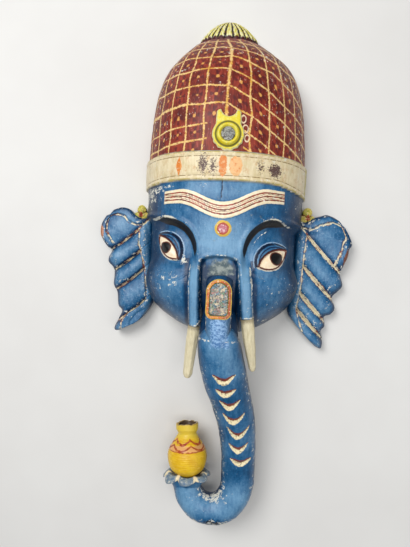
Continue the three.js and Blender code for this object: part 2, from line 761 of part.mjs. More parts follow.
// Rings square to a middle line, each an ellipse.
function tubeRings(stations, rows, sides) {
  const middle = new THREE.CatmullRomCurve3(
    stations.map(([x, y, z]) => new THREE.Vector3(x, y, z)),
    false,
    "centripetal",
  );
  const widths = stations.map(([, , , halfWidth, halfDepth], i) => [i, halfWidth, halfDepth]);
  const rings = [];
  for (let i = 0; i <= rows; i++) {
    const t = i / rows;
    const at = middle.getPoint(t);
    const down = middle.getTangent(t);
    const out = new THREE.Vector3(0, 0, 1).addScaledVector(down, -down.z).normalize();
    const across = new THREE.Vector3().crossVectors(down, out).normalize();
    const [halfWidth, halfDepth] = along(widths, t * (stations.length - 1));
    rings.push(ellipseRing(at, across, out, halfWidth, halfDepth, sides));
  }
  return rings;
}

function ellipseRing(at, across, out, halfWidth, halfDepth, sides) {
  return Array.from({ length: sides }, (_, j) => {
    const angle = (2 * Math.PI * j) / sides;
    return at
      .clone()
      .addScaledVector(across, halfWidth * Math.cos(angle))
      .addScaledVector(out, halfDepth * Math.sin(angle));
  });
}

// The end of the trunk's middle line, where the pot sits.
function trunkEnd() {
  const [x, y, z] = trunkStations().at(-1);
  return new THREE.Vector3(x, y, z);
}

// A flared lip with a wavy edge and a shallow cup for the pot.
function lip(end) {
  // rise above the trunk's end, radius, and how strongly the petals show
  const rows = [
    [-6, TRUNK_END_RADIUS - 1, 0],
    [0, TRUNK_END_RADIUS, 0],
    [LIP_LENGTH * 0.5, mix(TRUNK_END_RADIUS, LIP_RADIUS, 0.45), 0.4],
    [LIP_LENGTH * 0.85, LIP_RADIUS, 1],
    [LIP_LENGTH, LIP_RADIUS - 3, 1],
  ];
  const sides = 4 * LIP_PETALS;
  const rings = rows.map(([rise, radius, petals]) =>
    Array.from({ length: sides }, (_, j) => {
      const angle = (2 * Math.PI * j) / sides;
      const wave = LIP_PETAL_DEPTH * petals * Math.cos(LIP_PETALS * angle);
      return new THREE.Vector3(
        end.x + (radius + wave) * Math.cos(angle),
        end.y + rise - 0.8 * wave,
        end.z + (radius + wave) * LIP_FLATTENING * Math.sin(angle),
      );
    }),
  );
  return loft(rings);
}

// Mirrors

// A round mirror sunk in the jewel's ring. Its clearance is also cut away in front of it.
function crownMirror(clearance = 0) {
  const radius = MIRROR_RADIUS + clearance;
  const thickness = MIRROR_THICKNESS + 2 * clearance;
  const disc = new THREE.CylinderGeometry(radius, radius, thickness, MIRROR_SIDES);
  disc.rotateX(Math.PI / 2);
  const z = faceZ(JEWEL_X, JEWEL_Y) + JEWEL_RISE + RING_RISE * 0.4;
  disc.translate(JEWEL_X, JEWEL_Y, z - MIRROR_THICKNESS / 2);
  const solid = solidOf(disc);
  return clearance > 0 ? solid.add(solid.translate(0, 0, MIRROR_THICKNESS)) : solid;
}

// The long mirror's outline: round at the top, with small corners at the foot.
function tabletOutline(grow) {
  const w = TABLET_HALF_WIDTH - TABLET_BORDER + grow;
  const l = TABLET_HALF_LENGTH - TABLET_BORDER + grow;
  const corner = TABLET_CORNER + grow;
  const outline = new THREE.Shape();
  outline.absarc(0, l - w, w, 0, Math.PI, false);
  outline.absarc(corner - w, corner - l, corner, Math.PI, 1.5 * Math.PI, false);
  outline.absarc(w - corner, corner - l, corner, 1.5 * Math.PI, 2 * Math.PI, false);
  return outline;
}

// A plate of that outline with its front at the given height.
function tablet(frontZ, grow, thickness) {
  const plate = new THREE.ExtrudeGeometry(tabletOutline(grow), {
    depth: thickness,
    bevelEnabled: false,
    curveSegments: TABLET_SEGMENTS,
  });
  plate.translate(TABLET_X, TABLET_Y, frontZ - thickness);
  return solidOf(plate);
}

function trunkBlock() {
  const ridge = loft(tubeRings(ridgeStations(), RIDGE_ROWS, RIDGE_SIDES));
  const full = loft(tubeRings(trunkStations(), TRUNK_ROWS, TRUNK_SIDES));
  const seat = tablet(TABLET_TOP_Z, TABLET_BORDER, TABLET_SEAT);
  return full.add(lip(trunkEnd())).add(ridge).add(seat);
}

// Pot

// Radius against height above the foot; with a clearance it is grown and has no mouth.
function potProfile(clearance) {
  const [neck, neckTop, rim] = POT_NECK.map((share) => share * POT_HEIGHT);
  const outer = [
    [0, -clearance],
    [POT_FOOT_RADIUS + clearance, -clearance],
    ...POT_BODY.map(([rise, share]) => [POT_RADIUS * share + clearance, POT_HEIGHT * rise]),
    [POT_NECK_RADIUS + clearance, neck],
    [POT_NECK_RADIUS + clearance, neckTop],
    [POT_MOUTH_RADIUS + clearance, rim],
    [POT_MOUTH_RADIUS + clearance, POT_HEIGHT],
  ];
  const bore = POT_MOUTH_RADIUS - POT_RIM;
  const bottom = POT_HEIGHT - POT_MOUTH_DEPTH;
  const mouth = [
    [bore, POT_HEIGHT],
    [bore - 1, bottom],
    [0, bottom],
  ];
  const inner = clearance > 0 ? [[0, POT_HEIGHT]] : mouth;
  return [...outer, ...inner].map(([radius, rise]) => new THREE.Vector2(radius, rise));
}

function pot(clearance = 0) {
  const turned = new THREE.LatheGeometry(potProfile(clearance), POT_TURN_SIDES);
  turned.rotateZ(THREE.MathUtils.degToRad(POT_TILT));
  const foot = trunkEnd();
  turned.translate(foot.x + POT_OFFSET_X, foot.y + LIP_LENGTH - LIP_CUP_DEPTH, foot.z + POT_OFFSET_Z);
  return solidOf(turned);
}

// Tusks

function tusk(side, clearance = 0) {
  const { sign, footX, footY } = SHEATHS[side];
  const { radius, tipRadius, splay } = TUSKS[side];
  const root = new THREE.Vector3(sign * footX, footY, SHEATH_FOOT_Z - radius);
  const travel = new THREE.Vector3(sign * splay, -TUSK_LENGTH, -TUSK_DROP);
  const down = travel.normalize();
  const across = new THREE.Vector3(1, 0, 0).addScaledVector(down, -down.x).normalize();
  const out = new THREE.Vector3().crossVectors(across, down).normalize();
  const ringAt = (distance, r) => {
    const at = root.clone().addScaledVector(down, distance);
    return ellipseRing(at, across, out, r + clearance, r * 0.9 + clearance, TUSK_SIDES);
  };
  const rings = [
    ringAt(-TUSK_PEG - clearance, TUSK_PEG_RADIUS),
    ringAt(-FIT_GAP - clearance, TUSK_PEG_RADIUS),
  ];
  for (let i = 0; i <= TUSK_ROWS; i++) {
    const t = i / TUSK_ROWS;
    rings.push(ringAt(t * (TUSK_LENGTH - TUSK_TIP_LENGTH), mix(radius, tipRadius, t ** 2)));
  }
  rings.push(ringAt(TUSK_LENGTH, tipRadius * 0.5));
  return loft(rings);
}

// Ears

// Height of a point of the ear so far out along a line: flutes sag a little between their ends.
function earY({ slope, sag, edges }, line, out) {
  const [inner, outer] = along(edges, line);
  const share = (out - inner) / (outer - inner);
  return line - slope * out - 4 * sag * share * (1 - share);
}

// How far out the seam is between the flutes and the roll beside the head.
const seamAt = ({ seam }, y) => along(seam, y)[0];

// Height of the ear's front above its back, on the line of a flute and so far out along it.
function earHeight(ear, line, out, inner, outer) {
  const { grooves, edges } = ear;
  const topGroove = grooves[grooves.length - 1];
  const stops = [edges[0][0] - 6, ...grooves, edges[edges.length - 1][0]];
  let i = 0;
  while (i < stops.length - 2 && line > stops[i + 1]) i++;
  const share = clamp((line - stops[i]) / (stops[i + 1] - stops[i]), 0, 1);
  const inTop = smooth(topGroove - 4, topGroove + 4, line);
  const flat = mix(1, EAR_TOP_FLATNESS, inTop);
  const flute = EAR_FLUTE_RISE * flat * Math.max(0, Math.sin(Math.PI * share ** 0.8)) ** 0.6;
  const fromSeam = out - seamAt(ear, earY(ear, line, out));
  const onRoll = smooth(1.5, -1.5, fromSeam) * (1 - inTop);
  const fromEdge = Math.min(out - inner, outer - out);
  const rim = EAR_RIM_RISE * smooth(EAR_RIM_WIDTH + 2, EAR_RIM_WIDTH - 1, fromEdge) * inTop;
  const seam = EAR_SEAM_DEPTH * bump(fromSeam / 2) * (1 - inTop);
  const round = Math.sqrt(smooth(-5, mix(12, 3, inTop), fromEdge));
  return (EAR_THICKNESS + mix(flute, EAR_ROLL_RISE, onRoll) + rim - seam) * round;
}

// Lines of the ear's rows: one on every groove, and a few between.
function earLines({ grooves, edges }) {
  const stops = [edges[0][0], ...grooves, edges[edges.length - 1][0]];
  const lines = [stops[0]];
  for (let i = 0; i + 1 < stops.length; i++) {
    const count = Math.max(2, Math.round((stops[i + 1] - stops[i]) / EAR_ROW));
    for (let k = 1; k <= count; k++) lines.push(mix(stops[i], stops[i + 1], k / count));
  }
  return lines;
}

// Places of a row's columns: the inner ones lie along the seam, the outer ones along the rim.
function earColumns(ear, line, inner, outer) {
  const width = outer - inner;
  const topGroove = ear.grooves[ear.grooves.length - 1];
  const inTop = smooth(topGroove - 4, topGroove + 4, line);
  const middle = inner + 0.2 * width;
  const seam = clamp(seamAt(ear, earY(ear, line, middle)), inner + 0.12 * width, outer - 0.5 * width);
  const innerEdge = mix(seam, inner + Math.min(EAR_RIM_WIDTH, 0.4 * width), inTop);
  const outerEdge = outer - Math.min(EAR_RIM_WIDTH, 0.4 * width);
  const lip = Math.min(2.5, 0.06 * width);
  return [
    inner,
    inner + lip,
    mix(inner + lip, innerEdge, 0.5),
    innerEdge,
    mix(innerEdge, outerEdge, 0.12),
    mix(innerEdge, outerEdge, 0.5),
    mix(innerEdge, outerEdge, 0.88),
    outerEdge,
    outer - lip,
    outer,
  ];
}

function earBlock(ear) {
  const rings = earLines(ear).map((line) => {
    const [inner, outer] = along(ear.edges, line);
    const front = earColumns(ear, line, inner, outer).map((out) => {
      const z = EAR_BACK_Z + earHeight(ear, line, out, inner, outer);
      return new THREE.Vector3(FACE_HALF_WIDTH + out, earY(ear, line, out), z);
    });
    const [first, last] = [front[0], front[front.length - 1]];
    return [...front, last.clone().setZ(EAR_BACK_Z), first.clone().setZ(EAR_BACK_Z)];
  });
  return loft(rings);
}

// A small carved sprig of three leaves where the ear's top meets the head.
function sprig({ out, y, radius }) {
  const ringAt = (z, size) =>
    Array.from({ length: LEAF_SIDES }, (_, j) => {
      const angle = (2 * Math.PI * j) / LEAF_SIDES;
      const r = radius * size * (1 + LEAF_LOBES * Math.cos(3 * (angle - Math.PI / 2)));
      return new THREE.Vector3(
        FACE_HALF_WIDTH + out + r * Math.cos(angle),
        y + r * 1.25 * Math.sin(angle),
        z,
      );
    });
  const high = EAR_BACK_Z + EAR_THICKNESS + LEAF_RISE;
  return loft([ringAt(EAR_BACK_Z, 0.9), ringAt(high - LEAF_RISE - 2, 1), ringAt(high, 0.55)]);
}

// Pieces

const paint = {
  blue: new THREE.MeshStandardMaterial({ color: 0x2f5f96, roughness: 0.45 }),
  ivory: new THREE.MeshStandardMaterial({ color: 0xcfc3a0, roughness: 0.6 }),
  yellow: new THREE.MeshStandardMaterial({ color: 0xd9a92c, roughness: 0.45 }),
  mirror: new THREE.MeshStandardMaterial({ color: 0x9aa0a8, roughness: 0.15, metalness: 0.9 }),
};

function piece(name, solid, material) {
  const mesh = new THREE.Mesh(geometryOf(solid), material);
  mesh.name = name;
  return mesh;
}

// Everything but the pieces' own overlap is cut away with the fit gap.
function build() {
  const grownHead = headBlock(FIT_GAP);
  const sockets = tusk("left", FIT_GAP).add(tusk("right", FIT_GAP));
  const head = headBlock().subtract(hollow()).subtract(crownMirror(FIT_GAP)).subtract(sockets);
  const pocket = tablet(TABLET_TOP_Z + CUT_PAST, FIT_GAP, TABLET_POCKET + CUT_PAST);
  const trunk = trunkBlock().subtract(pocket).subtract(grownHead).subtract(sockets).subtract(pot(FIT_GAP));
  const glassZ = TABLET_TOP_Z - TABLET_POCKET + FIT_GAP + TABLET_THICKNESS;
  const ear = (side) => earBlock(EARS[side]).add(sprig(SPRIGS[side]));

  const whole = new THREE.Group();
  whole.add(
    piece("head", head, paint.blue),
    piece("ear_left", ear("left").mirror([1, 0, 0]).subtract(grownHead), paint.blue),
    piece("ear_right", ear("right").subtract(grownHead), paint.blue),
    piece("trunk", trunk, paint.blue),
    piece("pot", pot(), paint.yellow),
    piece("tusk_left", tusk("left"), paint.ivory),
    piece("tusk_right", tusk("right"), paint.ivory),
    piece("crown_mirror", crownMirror(), paint.mirror),
    piece("trunk_mirror", tablet(glassZ, 0, TABLET_THICKNESS), paint.mirror),
  );
  const box = new THREE.Box3().setFromObject(whole);
  const middle = box.getCenter(new THREE.Vector3());
  whole.position.set(-middle.x, -middle.y, -box.min.z);
  const mask = new THREE.Group();
  mask.add(whole);
  return mask;
}

export default build();
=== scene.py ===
"""A carved and painted elephant-headed mask, lying on its back on a pale floor.

Points are worked out in millimetres in the carver's frame: x = 0 is the middle line, y = 0 the root of
the nose, z = 0 the flat back rim. to_metres() puts them in the frame of the CAD part.
"""

import json
import math

import bpy
import numpy as np
from mathutils import Matrix, Vector

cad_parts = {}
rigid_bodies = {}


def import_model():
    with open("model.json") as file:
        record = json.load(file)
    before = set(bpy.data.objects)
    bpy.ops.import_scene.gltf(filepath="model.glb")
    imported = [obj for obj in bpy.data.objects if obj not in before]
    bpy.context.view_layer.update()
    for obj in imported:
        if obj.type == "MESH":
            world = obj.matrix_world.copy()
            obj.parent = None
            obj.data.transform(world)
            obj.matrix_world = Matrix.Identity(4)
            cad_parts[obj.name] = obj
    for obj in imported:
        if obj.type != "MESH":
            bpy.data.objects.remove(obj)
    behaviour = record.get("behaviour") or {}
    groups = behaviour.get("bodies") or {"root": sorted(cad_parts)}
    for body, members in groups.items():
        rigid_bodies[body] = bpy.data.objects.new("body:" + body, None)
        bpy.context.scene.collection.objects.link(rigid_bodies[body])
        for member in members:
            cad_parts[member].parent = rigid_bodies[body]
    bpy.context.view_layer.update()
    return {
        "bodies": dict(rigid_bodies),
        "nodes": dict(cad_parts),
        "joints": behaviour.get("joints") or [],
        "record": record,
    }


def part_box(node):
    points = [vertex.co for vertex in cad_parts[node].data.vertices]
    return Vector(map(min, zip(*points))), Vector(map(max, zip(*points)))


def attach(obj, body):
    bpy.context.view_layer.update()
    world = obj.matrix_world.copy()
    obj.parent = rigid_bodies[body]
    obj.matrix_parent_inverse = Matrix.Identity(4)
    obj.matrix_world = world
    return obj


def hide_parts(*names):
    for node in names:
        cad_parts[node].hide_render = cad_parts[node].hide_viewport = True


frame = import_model()

# Camera

PHOTO_HEIGHT_PX = 547
FOCAL_PX = 469.0
CAMERA_HEIGHT = 750.0  # above the rim's plane
CAMERA_AIM_X = -26.3  # where the line of sight meets that plane, on y = 0
CAMERA_ROLL = math.radians(2.75)
CAMERA_YAW = math.radians(2.9)
SENSOR = 36.0

# Sizes that the CAD part has too

FACE_HALF_WIDTH, FACE_DEPTH = 119.0, 120.0
JAW_Y, CHIN_DROP = 2.0, 92.0
CHIN_Y = JAW_Y - CHIN_DROP
CROWN_HALF_WIDTH, CROWN_DEPTH = 120.0, 130.0
CROWN_LOW_Y, CROWN_HEIGHT = 125.0, 225.0
CROWN_TOP_Y = CROWN_LOW_Y + CROWN_HEIGHT
FULLNESS = 2.25
RIM_FADE = 22.0
WALL, FRONT_WALL = 19.0, 24.0
BAND_HEIGHT, BAND_RISE, BAND_EDGE = 38.0, 3.6, 3.0
BAND_TOP_Y = CROWN_LOW_Y + BAND_HEIGHT
FINIAL_X, FINIAL_HALF_WIDTH, FINIAL_DEPTH, FINIAL_HEIGHT, FINIAL_TILT = -5.0, 48.0, 52.0, 36.0, 10.0
FINIAL_TOP_Y = CROWN_TOP_Y + FINIAL_HEIGHT
FINIAL_FLUTES, FINIAL_FLUTE_DEPTH, FINIAL_GROOVE, FINIAL_STRETCH = 15, 2.4, 3.5, 0.15
LEAN_LENGTH = 40.0
JEWEL = Vector((2.0, 185.0))
JEWEL_TOP_Y = 222.0
JEWEL_RADIUS, JEWEL_RISE, JEWEL_HORN_X, JEWEL_HORN_Y = 21.0, 3.5, 13.0, 33.0
RING_RADIUS, RING_RISE = 14.5, 4.0
MIRROR_RADIUS = 9.2
BROW_CENTRE_X, BROW_CENTRE_Y = 78.0, 28.0
BROW_RADIUS = {-1: 42.0, 1: 46.3}
BROW_LIFT = {-1: 0.14, 1: -0.12}
SOCKET_DEPTH, SOCKET_LENGTH = 7.0, 46.0
LID_GROWTH, LID_RISE = 10.0, 7.5
CHEEK_X, CHEEK_Y, CHEEK_RADIUS, CHEEK_RISE = 82.0, -14.0, 46.0, 6.0
CREASE_X, CREASE_END_Y, CREASE_DROP, CREASE_HALF_LENGTH = -74.0, -2.0, 11.0, 27.0
TILAK_Y, TILAK_END_RISE, TILAK_WAVE, TILAK_HALF_WIDTH, TILAK_HALF_HEIGHT = 86.0, 20.0, 62.0, 83.0, 10.0
TILAK_TILT = 0.035
BINDI_X, BINDI_Y, BINDI_RADIUS = 1.0, 61.5, 11.0
LATTICE_ROWS = (157, 181, 203, 227, 252, 277, 300, 318, 336, 360)
LATTICE_TURN, LATTICE_CELL_HEIGHT = 0.141, 24.5
SHEATHS = {
    -1: {"top": 36.5, "foot": 32.5, "foot_y": -72.0, "half": 8.3},
    1: {"top": 31.0, "foot": 39.3, "foot_y": -59.0, "half": 9.0},
}
SHEATH_TOP_Y, SHEATH_FADE = 26.0, 31.0
SHEATH_FRONT, SHEATH_FOOT_Z = 9.0, 118.0
ARCH_X, ARCH_HALF_WIDTH, ARCH_TOP_Y = -1.5, 27.5, 24.5
ARCH_ROUND, ARCH_SQUARENESS, ARCH_DEPTH = 21.5, 3.0, 8.0

CROWN_SHAPE = [
    (0, 1, 0.97),
    (0.17, 1.005, 1),
    (0.39, 0.99, 1.01),
    (0.57, 0.95, 0.97),
    (0.714, 0.885, 0.88),
    (0.823, 0.78, 0.77),
    (0.913, 0.62, 0.62),
    (1, 0.42, 0.44),
]

# Eyes: corners, how far the lids arch above and below the line between them, and the pupil
EYES = {
    -1: {"outer": (-87, 50), "inner": (-60, 19.5), "arch": (6.2, 10.6), "pupil": (-77.6, 34), "radius": 8},
    1: {"outer": (88.5, 36.5), "inner": (51.8, 13.2), "arch": (8.2, 12.3), "pupil": (75.2, 25), "radius": 9},
}

head_low, head_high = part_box("head")
HEAD_TOP_Y = FINIAL_TOP_Y - 0.4 + FINIAL_TILT
ORIGIN = np.array([(head_low.x + head_high.x) * 500, head_high.y * 1000 - HEAD_TOP_Y, 0.0])

NOISE_SIZE = 32
NOISE_VALUES = np.random.default_rng(7).random((NOISE_SIZE,) * 3)


def to_metres(points):
    return (np.asarray(points, float) + ORIGIN) / 1000


def smooth(low, high, value):
    t = np.clip((value - low) / (high - low), 0, 1)
    return t * t * (3 - 2 * t)


def mix(a, b, t):
    return a + (b - a) * t


def bump(d):
    return np.clip(1 - d * d, 0, None) ** 2


def along(rows, at):
    """A smooth curve through rows of (station, value, ...), read at an array of stations."""
    table = np.array(rows, float)
    station, values = table[:, 0], table[:, 1:]
    k = np.arange(len(station))
    low, high = np.maximum(k - 1, 0), np.minimum(k + 1, len(station) - 1)
    slope = (values[high] - values[low]) / (station[high] - station[low])[:, None]
    at = np.clip(at, station[0], station[-1])
    i = np.clip(np.searchsorted(station, at, side="right") - 1, 0, len(station) - 2)
    span = (station[i + 1] - station[i])[..., None]
    t = (at - station[i])[..., None] / span
    return (
        (2 * t**3 - 3 * t**2 + 1) * values[i]
        + (t**3 - 2 * t**2 + t) * slope[i] * span
        + (3 * t**2 - 2 * t**3) * values[i + 1]
        + (t**3 - t**2) * slope[i + 1] * span
    )


def numbered(rows):
    return [(i, *row) for i, row in enumerate(rows)]


def even_rows(rows, count):
    """Rows of a profile, filled in to that count along a smooth curve."""
    return along(numbered(rows), np.linspace(0, len(rows) - 1, count))


def spot(x, y, middle, size):
    """An oval spot, 1 in its middle and fading out over size."""
    return np.exp(-(((x - middle[0]) / size[0]) ** 2) - ((y - middle[1]) / size[1]) ** 2)


def ovals_distance(x, y, ovals):
    """Signed distance to the nearest of some ovals: middle x and y, half-width, half-height."""
    return np.min([(np.hypot((x - a) / w, (y - b) / h) - 1) * min(w, h) for a, b, w, h in ovals], axis=0)


def turn_of(sides):
    return np.linspace(0, 2 * math.pi, sides, endpoint=False)


def noise(points, size, seed=0):
    """Smooth random values from -1 to 1 that change over about size millimetres."""
    p = np.asarray(points, float) / size + 7.31 * seed + 100
    cell = np.floor(p).astype(int)
    f = p - cell
    f = f * f * (3 - 2 * f)
    total = 0.0
    for corner in np.ndindex(2, 2, 2):
        weight = np.prod([f[..., a] if corner[a] else 1 - f[..., a] for a in range(3)], axis=0)
        index = (cell + corner) % NOISE_SIZE
        total = total + weight * NOISE_VALUES[index[..., 0], index[..., 1], index[..., 2]]
    return 2 * total - 1


# Head


def section(y):
    """Half-width and depth of the head's section at heights y."""
    y = np.asarray(y, float)
    jaw = np.clip((JAW_Y - y) / CHIN_DROP, 0, 1)
    width = FACE_HALF_WIDTH * np.sqrt(1 - jaw**2)
    depth = FACE_DEPTH * np.cbrt(1 - jaw**3)
    crown = along(CROWN_SHAPE, (y - CROWN_LOW_Y) / CROWN_HEIGHT)
    rise = smooth(JAW_Y, CROWN_LOW_Y, y)
    width = np.where(y > JAW_Y, mix(FACE_HALF_WIDTH, CROWN_HALF_WIDTH * crown[..., 0], rise), width)
    depth = np.where(y > JAW_Y, mix(FACE_DEPTH, CROWN_DEPTH * crown[..., 1], rise), depth)
    top = np.clip((y - CROWN_TOP_Y) / FINIAL_HEIGHT, 0, 1)
    dome = (1 - top**1.35) ** 0.65
    width = np.where(y > CROWN_TOP_Y, FINIAL_HALF_WIDTH * dome, width)
    depth = np.where(y > CROWN_TOP_Y, FINIAL_DEPTH * dome, depth)
    return width, depth


def bend_at(y):
    """How far the crown's top has bent over to the finial, from 0 to 1."""
    return smooth(CROWN_TOP_Y - LEAN_LENGTH, CROWN_TOP_Y, y)


def smooth_head(y, turn):
    width, depth = section(y)
    angle = turn * math.pi / 2
    across = np.abs(np.sin(angle)) ** (2 / FULLNESS) * np.sign(turn)
    z = depth * np.clip(np.cos(angle), 0, None) ** (2 / FULLNESS)
    lift = FINIAL_TILT * bend_at(y) * (1 - np.minimum(1, z / FINIAL_DEPTH))
    return np.stack([FINIAL_X * bend_at(y) + width * across, y + lift, z], -1)


def face_z(x, y):
    width, depth = section(y)
    t = np.clip(np.abs(x) / np.maximum(width, 1e-6), 0, 1)
    return depth * (1 - t**FULLNESS) ** (1 / FULLNESS)


def by_side(x, table):
    """The left side's value where x is below 0, and the right side's elsewhere."""
    return np.where(x < 0, table[-1], table[1])


def brow_distance(x, y):
    """Distance above the brow's middle line, and how far along it, from beside the nose to the temple."""
    side, radius = np.abs(x), by_side(x, BROW_RADIUS)
    lift = by_side(x, BROW_LIFT) * np.clip(side - 66, 0, None)
    dx, dy = side - BROW_CENTRE_X, y - lift - BROW_CENTRE_Y
    arc = np.hypot(dx, np.maximum(dy, 0)) - radius
    distance = np.where(side > BROW_CENTRE_X, dy - radius, arc)
    quarter = np.arctan2(np.maximum(dy, 0), np.maximum(-dx, 0)) * radius
    travel = np.where(side > BROW_CENTRE_X, math.pi / 2 * radius + dx, quarter)
    return distance, travel - np.clip(-dy, 0, None)


def brow_half(x, travel):
    """Half of the painted brow's thickness: slim beside the nose, and pointed at the temple."""
    full = np.where(x < 0, 5.6, 5.2)
    return full * (0.62 + 0.38 * smooth(0, 30, travel)) * smooth(-8, 6, travel) * smooth(92, 66, travel)


def brow_paint(x, y):
    distance, travel = brow_distance(x, y)
    return np.abs(distance + 0.6) - brow_half(x, travel)


def eye_local(x, y, eye):
    outer, inner = np.array(eye["outer"], float), np.array(eye["inner"], float)
    middle, axis = (outer + inner) / 2, outer - inner
    half = np.hypot(*axis) / 2
    axis = axis / (2 * half)
    up = np.array([-axis[1], axis[0]]) * np.sign(axis[0])
    dx, dy = x - middle[0], y - middle[1]
    return dx * axis[0] + dy * axis[1], dx * up[0] + dy * up[1], half


def lens(a, b, half, upper, lower):
    """Signed distances to the two arcs that meet at the eye's corners, upper and lower."""
    top = (half**2 + upper**2) / (2 * upper)
    low = (half**2 + lower**2) / (2 * lower)
    return np.hypot(a, b - upper + top) - top, np.hypot(a, b + lower - low) - low


def eye_distances(x, y, growth=0.0):
    """Signed distances to the upper and the lower lid's edge of the eye on that side."""
    upper, lower = np.full((2, *np.shape(x)), 1e3)
    for side, eye in EYES.items():
        a, b, half = eye_local(x, y, eye)
        top, low = lens(a, b, half + growth * 0.35, eye["arch"][0] + growth, eye["arch"][1])
        upper, lower = np.where(np.sign(x) == side, top, upper), np.where(np.sign(x) == side, low, lower)
    return upper, lower


def eye_distance(x, y, growth=0.0):
    return np.maximum(*eye_distances(x, y, growth))


def pupil_distance(x, y):
    result = np.full(np.shape(x), 1e3)
    for side, eye in EYES.items():
        d = np.hypot(x - eye["pupil"][0], y - eye["pupil"][1]) - eye["radius"]
        result = np.where(np.sign(x) == side, d, result)
    return result


def eye_relief(x, y):
    distance, travel = brow_distance(x, y)
    inner = smooth(-24, 6, travel)
    ridge = 1.8 * bump((distance - 6) / 6) * inner
    fade = smooth(BROW_CENTRE_Y - SOCKET_LENGTH, BROW_CENTRE_Y - 4, y)
    socket = -SOCKET_DEPTH * smooth(6, -6, distance) * fade
    eye = eye_distance(x, y)
    lid = eye_distance(x, y, LID_GROWTH)
    mound = LID_RISE * smooth(17, -4, lid) * smooth(24, 4, eye)
    fold = 1.3 * smooth(1.2, -1.2, lid) * smooth(22, 12, eye) - 1.1 * bump((lid - 1.8) / 2.4)
    opening = -1.7 * smooth(0.8, -0.8, eye) + 2.6 * smooth(0, -9, eye)
    liner = 0.7 * bump((eye - 1.6) / 1.8)
    return ridge + socket + mound + fold + opening + liner


def of_sheath(x, key):
    return by_side(x, {side: sheath[key] for side, sheath in SHEATHS.items()})


def sheath_middle(x, y):
    down = (SHEATH_TOP_Y - y) / (SHEATH_TOP_Y - of_sheath(x, "foot_y"))
    return np.where(x < 0, -1, 1) * mix(of_sheath(x, "top"), of_sheath(x, "foot"), down)


def sheath_relief(x, y):
    middle, half, foot_y = sheath_middle(x, y), of_sheath(x, "half"), of_sheath(x, "foot_y")
    off = np.abs(x - middle)
    profile = 1 - smooth(half * 0.72, half * 1.14, off)
    length = smooth(SHEATH_TOP_Y + 2, SHEATH_TOP_Y - SHEATH_FADE, y) * smooth(foot_y - 1.5, foot_y, y)
    down = np.clip((SHEATH_TOP_Y - y) / (SHEATH_TOP_Y - foot_y), 0, 1)
    front = mix(face_z(of_sheath(x, "top"), SHEATH_TOP_Y + 0 * y) + SHEATH_FRONT, SHEATH_FOOT_Z, down)
    crown = -2.6 * (off / half) ** 2
    return np.maximum(0, front + crown - face_z(middle, y)) * profile * length


def arch_distance(x, y):
    across = np.abs(x - ARCH_X) / ARCH_HALF_WIDTH
    up = np.maximum(0, y - (ARCH_TOP_Y - ARCH_ROUND)) / ARCH_ROUND
    n = ARCH_SQUARENESS
    return ((across**n + up**n) ** (1 / n) - 1) * ARCH_HALF_WIDTH


def arch_relief(x, y):
    foot = smooth(CHIN_Y, CHIN_Y + 20, y)
    d = arch_distance(x, y)
    return (-ARCH_DEPTH * smooth(0.6, -3.5, d) + 0.9 * bump((d - 2.5) / 3.5)) * foot


def tilak_middle(x):
    wave = (1 - np.cos(math.pi * np.clip(np.abs(x) / TILAK_WAVE, 0, 1))) / 2
    return TILAK_Y + TILAK_END_RISE * wave + TILAK_TILT * x


def tilak_place(x, y):
    """Signed distance to the forehead's mark, and the place across it from -1 to 1."""
    half = TILAK_HALF_HEIGHT + 1.0 - 2.2 * smooth(30, 80, np.abs(x))
    across = (y - tilak_middle(x)) / half
    return np.maximum((np.abs(across) - 1) * half, np.abs(x) - TILAK_HALF_WIDTH), across


def jewel_distance(x, y):
    """Signed distance to a round plaque with a scalloped foot and two blunt horns."""
    dx, dy = np.abs(x - JEWEL.x), y - JEWEL.y
    scallop = 0.6 * np.cos(15 * np.arctan2(dx, -dy)) * smooth(4, -8, dy)
    body = np.hypot(dx, dy) - JEWEL_RADIUS + scallop
    shoulder = mix(JEWEL_RADIUS - 0.5, JEWEL_HORN_X + 3.0, smooth(2, 25, dy))
    between = np.hypot(dx / 0.95, dy - JEWEL_HORN_Y - 2) - 11.5
    cap = np.hypot(np.maximum(dx - JEWEL_HORN_X + 2, 0), np.maximum(dy - JEWEL_HORN_Y + 6, 0)) - 5.5
    horns = np.maximum(np.maximum(dx - shoulder, -between), np.maximum(cap, -dy))
    return np.where(dy > 0, np.minimum(horns, body), body)


def ring_distance(x, y):
    return np.hypot(x - JEWEL.x, y - JEWEL.y)


def jewel_relief(x, y):
    r = ring_distance(x, y)
    plaque = JEWEL_RISE * smooth(0.8, -1.4, jewel_distance(x, y))
    middle, half = (RING_RADIUS + MIRROR_RADIUS) / 2, (RING_RADIUS - MIRROR_RADIUS) / 2
    ring = RING_RISE * bump((r - middle) / (half * 1.3))
    groove = -1.2 * bump((r - RING_RADIUS - 1.6) / 1.6)
    well = -1.5 * smooth(MIRROR_RADIUS + 0.6, MIRROR_RADIUS - 0.4, r)
    return plaque + ring + groove + well


def finial_flute(y, turn):
    """1 on the crest of a flute, 0 in the groove beside it; the flutes narrow towards the top."""
    wander = 0.004 * np.sin(y * 0.4 + 9 * turn)
    return np.abs(np.cos((turn + wander) * FINIAL_FLUTES * math.pi / 2))


def finial_relief(y, turn):
    flutes = FINIAL_FLUTE_DEPTH * (finial_flute(y, turn) ** 0.7 - 0.6)
    ends = smooth(CROWN_TOP_Y, CROWN_TOP_Y + 3, y) * smooth(FINIAL_TOP_Y + 3, FINIAL_TOP_Y - 10, y)
    return flutes * ends - FINIAL_GROOVE * bump((y - CROWN_TOP_Y) / 4.5)


def band_place(x, y):
    """Height above the band's lower edge, which droops at the ends, most at the right."""
    droop = 8.0 * smooth(62, 120, x) + 3.0 * smooth(62, 120, -x)
    return y - CROWN_LOW_Y + droop * smooth(BAND_TOP_Y, CROWN_LOW_Y, y)


